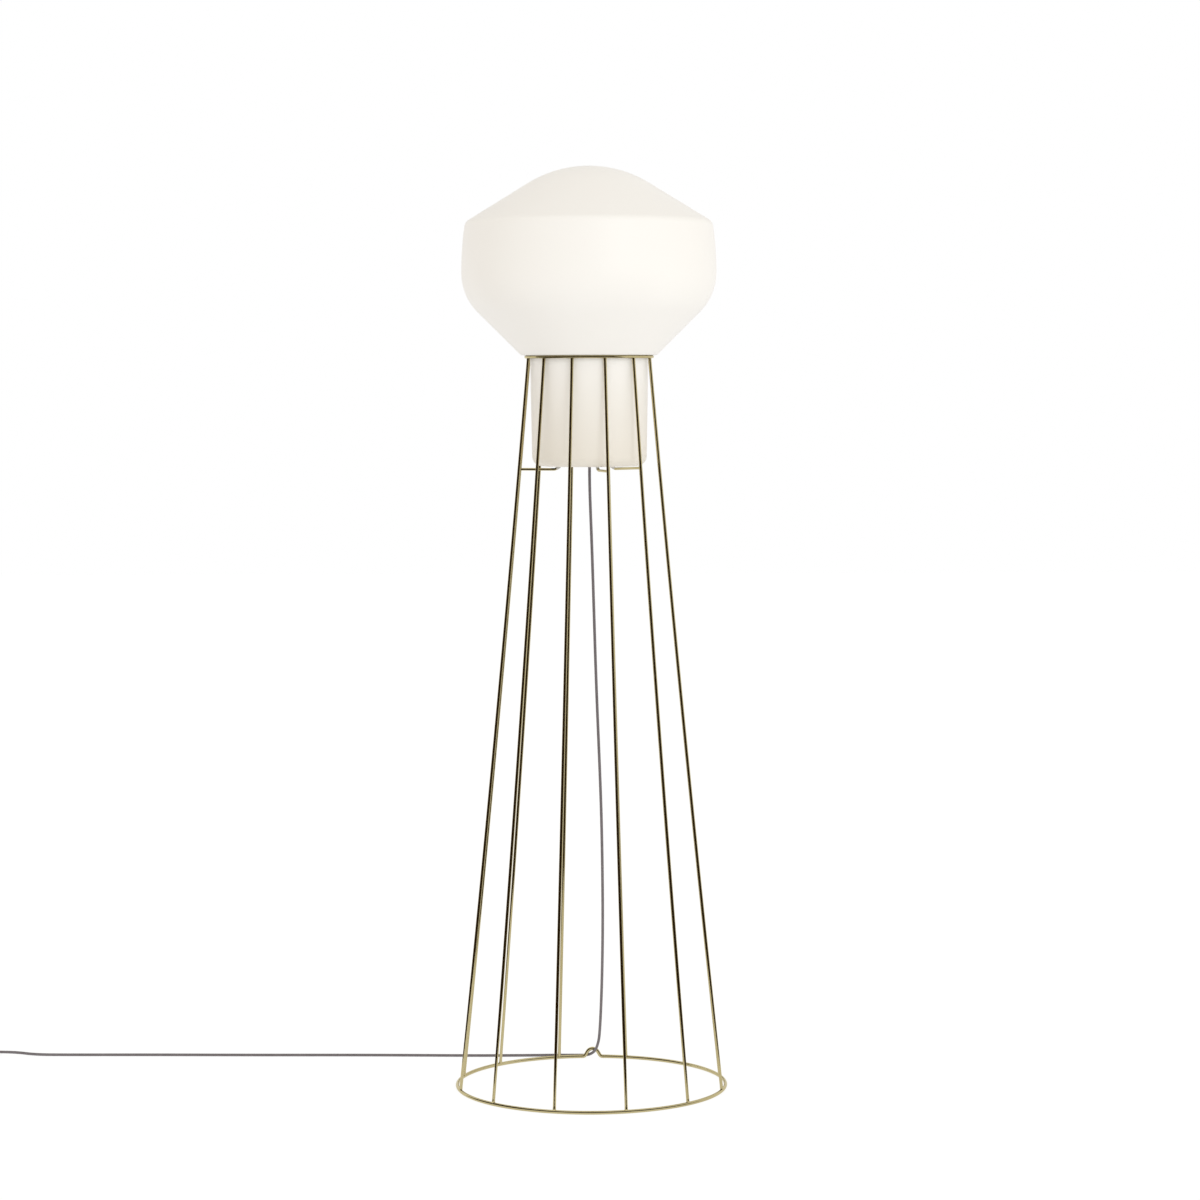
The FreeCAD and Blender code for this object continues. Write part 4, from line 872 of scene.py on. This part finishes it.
def made_floor():
    """A pale floor that shows white, with the lamp's soft shadow left on it."""
    material = bpy.data.materials.new("pale_floor")
    material.use_nodes = True
    tree = material.node_tree
    tree.nodes.clear()
    matte = tree.nodes.new("ShaderNodeBsdfDiffuse")
    matte.inputs["Color"].default_value = FLOOR_TONE
    glow = tree.nodes.new("ShaderNodeEmission")
    glow.inputs["Color"].default_value = (1, 1, 1, 1)
    glow.inputs["Strength"].default_value = FLOOR_GLOW
    share = tree.nodes.new("ShaderNodeMapRange")
    share.inputs["To Min"].default_value = FLOOR_WHITE[0]
    share.inputs["To Max"].default_value = FLOOR_WHITE[1]
    mix = tree.nodes.new("ShaderNodeMixShader")
    end = tree.nodes.new("ShaderNodeOutputMaterial")
    tree.links.new(seen_rays(tree), share.inputs["Value"])
    tree.links.new(share.outputs["Result"], mix.inputs[0])
    tree.links.new(matte.outputs[0], mix.inputs[1])
    tree.links.new(glow.outputs[0], mix.inputs[2])
    tree.links.new(mix.outputs[0], end.inputs["Surface"])
    corners = [(-1, -1), (1, -1), (1, 1), (-1, 1)]
    points = [(FLOOR_REACH * x, FLOOR_REACH * y, 0) for x, y in corners]
    staged("floor", points, [(0, 1, 2, 3)], material)


def made_world():
    """White where it is seen or mirrored, and a soft warm level where it lights."""
    world = bpy.data.worlds.new("soft_studio")
    bpy.context.scene.world = world
    world.use_nodes = True
    tree = world.node_tree
    place = tree.nodes.new("ShaderNodeTexCoord")
    parts = tree.nodes.new("ShaderNodeSeparateXYZ")
    around, shown = tree.nodes.new("ShaderNodeMix"), tree.nodes.new("ShaderNodeMix")
    around.data_type = shown.data_type = "RGBA"
    around.inputs["A"].default_value = (*WORLD_AROUND, 1)
    around.inputs["B"].default_value = (*WORLD_ABOVE, 1)
    shown.inputs["B"].default_value = (1, 1, 1, 1)
    tree.links.new(place.outputs["Generated"], parts.inputs["Vector"])
    tree.links.new(parts.outputs["Z"], around.inputs["Factor"])
    tree.links.new(seen_rays(tree), shown.inputs["Factor"])
    tree.links.new(around.outputs["Result"], shown.inputs["A"])
    tree.links.new(shown.outputs["Result"], tree.nodes["Background"].inputs["Color"])


def made_dark_screen():
    """A dark curved screen in front, which only mirrors see: (r sin a, -r cos a, z).

    Each row has its radius r, its height z and its first and last angle a, in degrees. It
    leans away from the lamp and is widest at its foot.
    """
    material = bpy.data.materials.new("dark_screen")
    material.use_nodes = True
    shader = material.node_tree.nodes["Principled BSDF"]
    shader.inputs["Base Color"].default_value = (*SCREEN_TONE, 1)
    shader.inputs["Roughness"].default_value = 1.0
    shader.inputs["Specular IOR Level"].default_value = 0.0
    radius, height, first, last = np.array(SCREEN_ROWS).T[:, :, None]
    a = np.radians(first + (last - first) * np.linspace(0, 1, SCREEN_COLUMNS))
    points = np.stack([radius * np.sin(a), -radius * np.cos(a), height + 0 * a], -1)
    faces = grid_faces(len(SCREEN_ROWS), SCREEN_COLUMNS).reshape(-1, SCREEN_COLUMNS, 4)
    open_faces = faces[:, :-1].reshape(-1, 4).tolist()
    screen = staged("dark_screen", points.reshape(-1, 3).tolist(), open_faces, material)
    screen.visible_camera = False
    screen.visible_diffuse = False
    screen.visible_transmission = False
    screen.visible_shadow = False
    screen.visible_volume_scatter = False


def area_light(name, place, target, size, power, color):
    """A soft oblong light that faces its target."""
    light = bpy.data.lights.new(name, "AREA")
    light.shape = "RECTANGLE"
    light.size, light.size_y = size
    light.energy = power
    light.color = color
    obj = bpy.data.objects.new(name, light)
    bpy.context.scene.collection.objects.link(obj)
    heading = (Vector(target) - Vector(place)).to_track_quat("-Z", "Y")
    obj.matrix_world = Matrix.Translation(place) @ heading.to_matrix().to_4x4()


made_floor()
made_world()
made_dark_screen()
area_light("key", KEY_PLACE, KEY_TARGET, KEY_SIZE, KEY_POWER, KEY_TONE)

bpy.context.scene.view_settings.view_transform = "Standard"
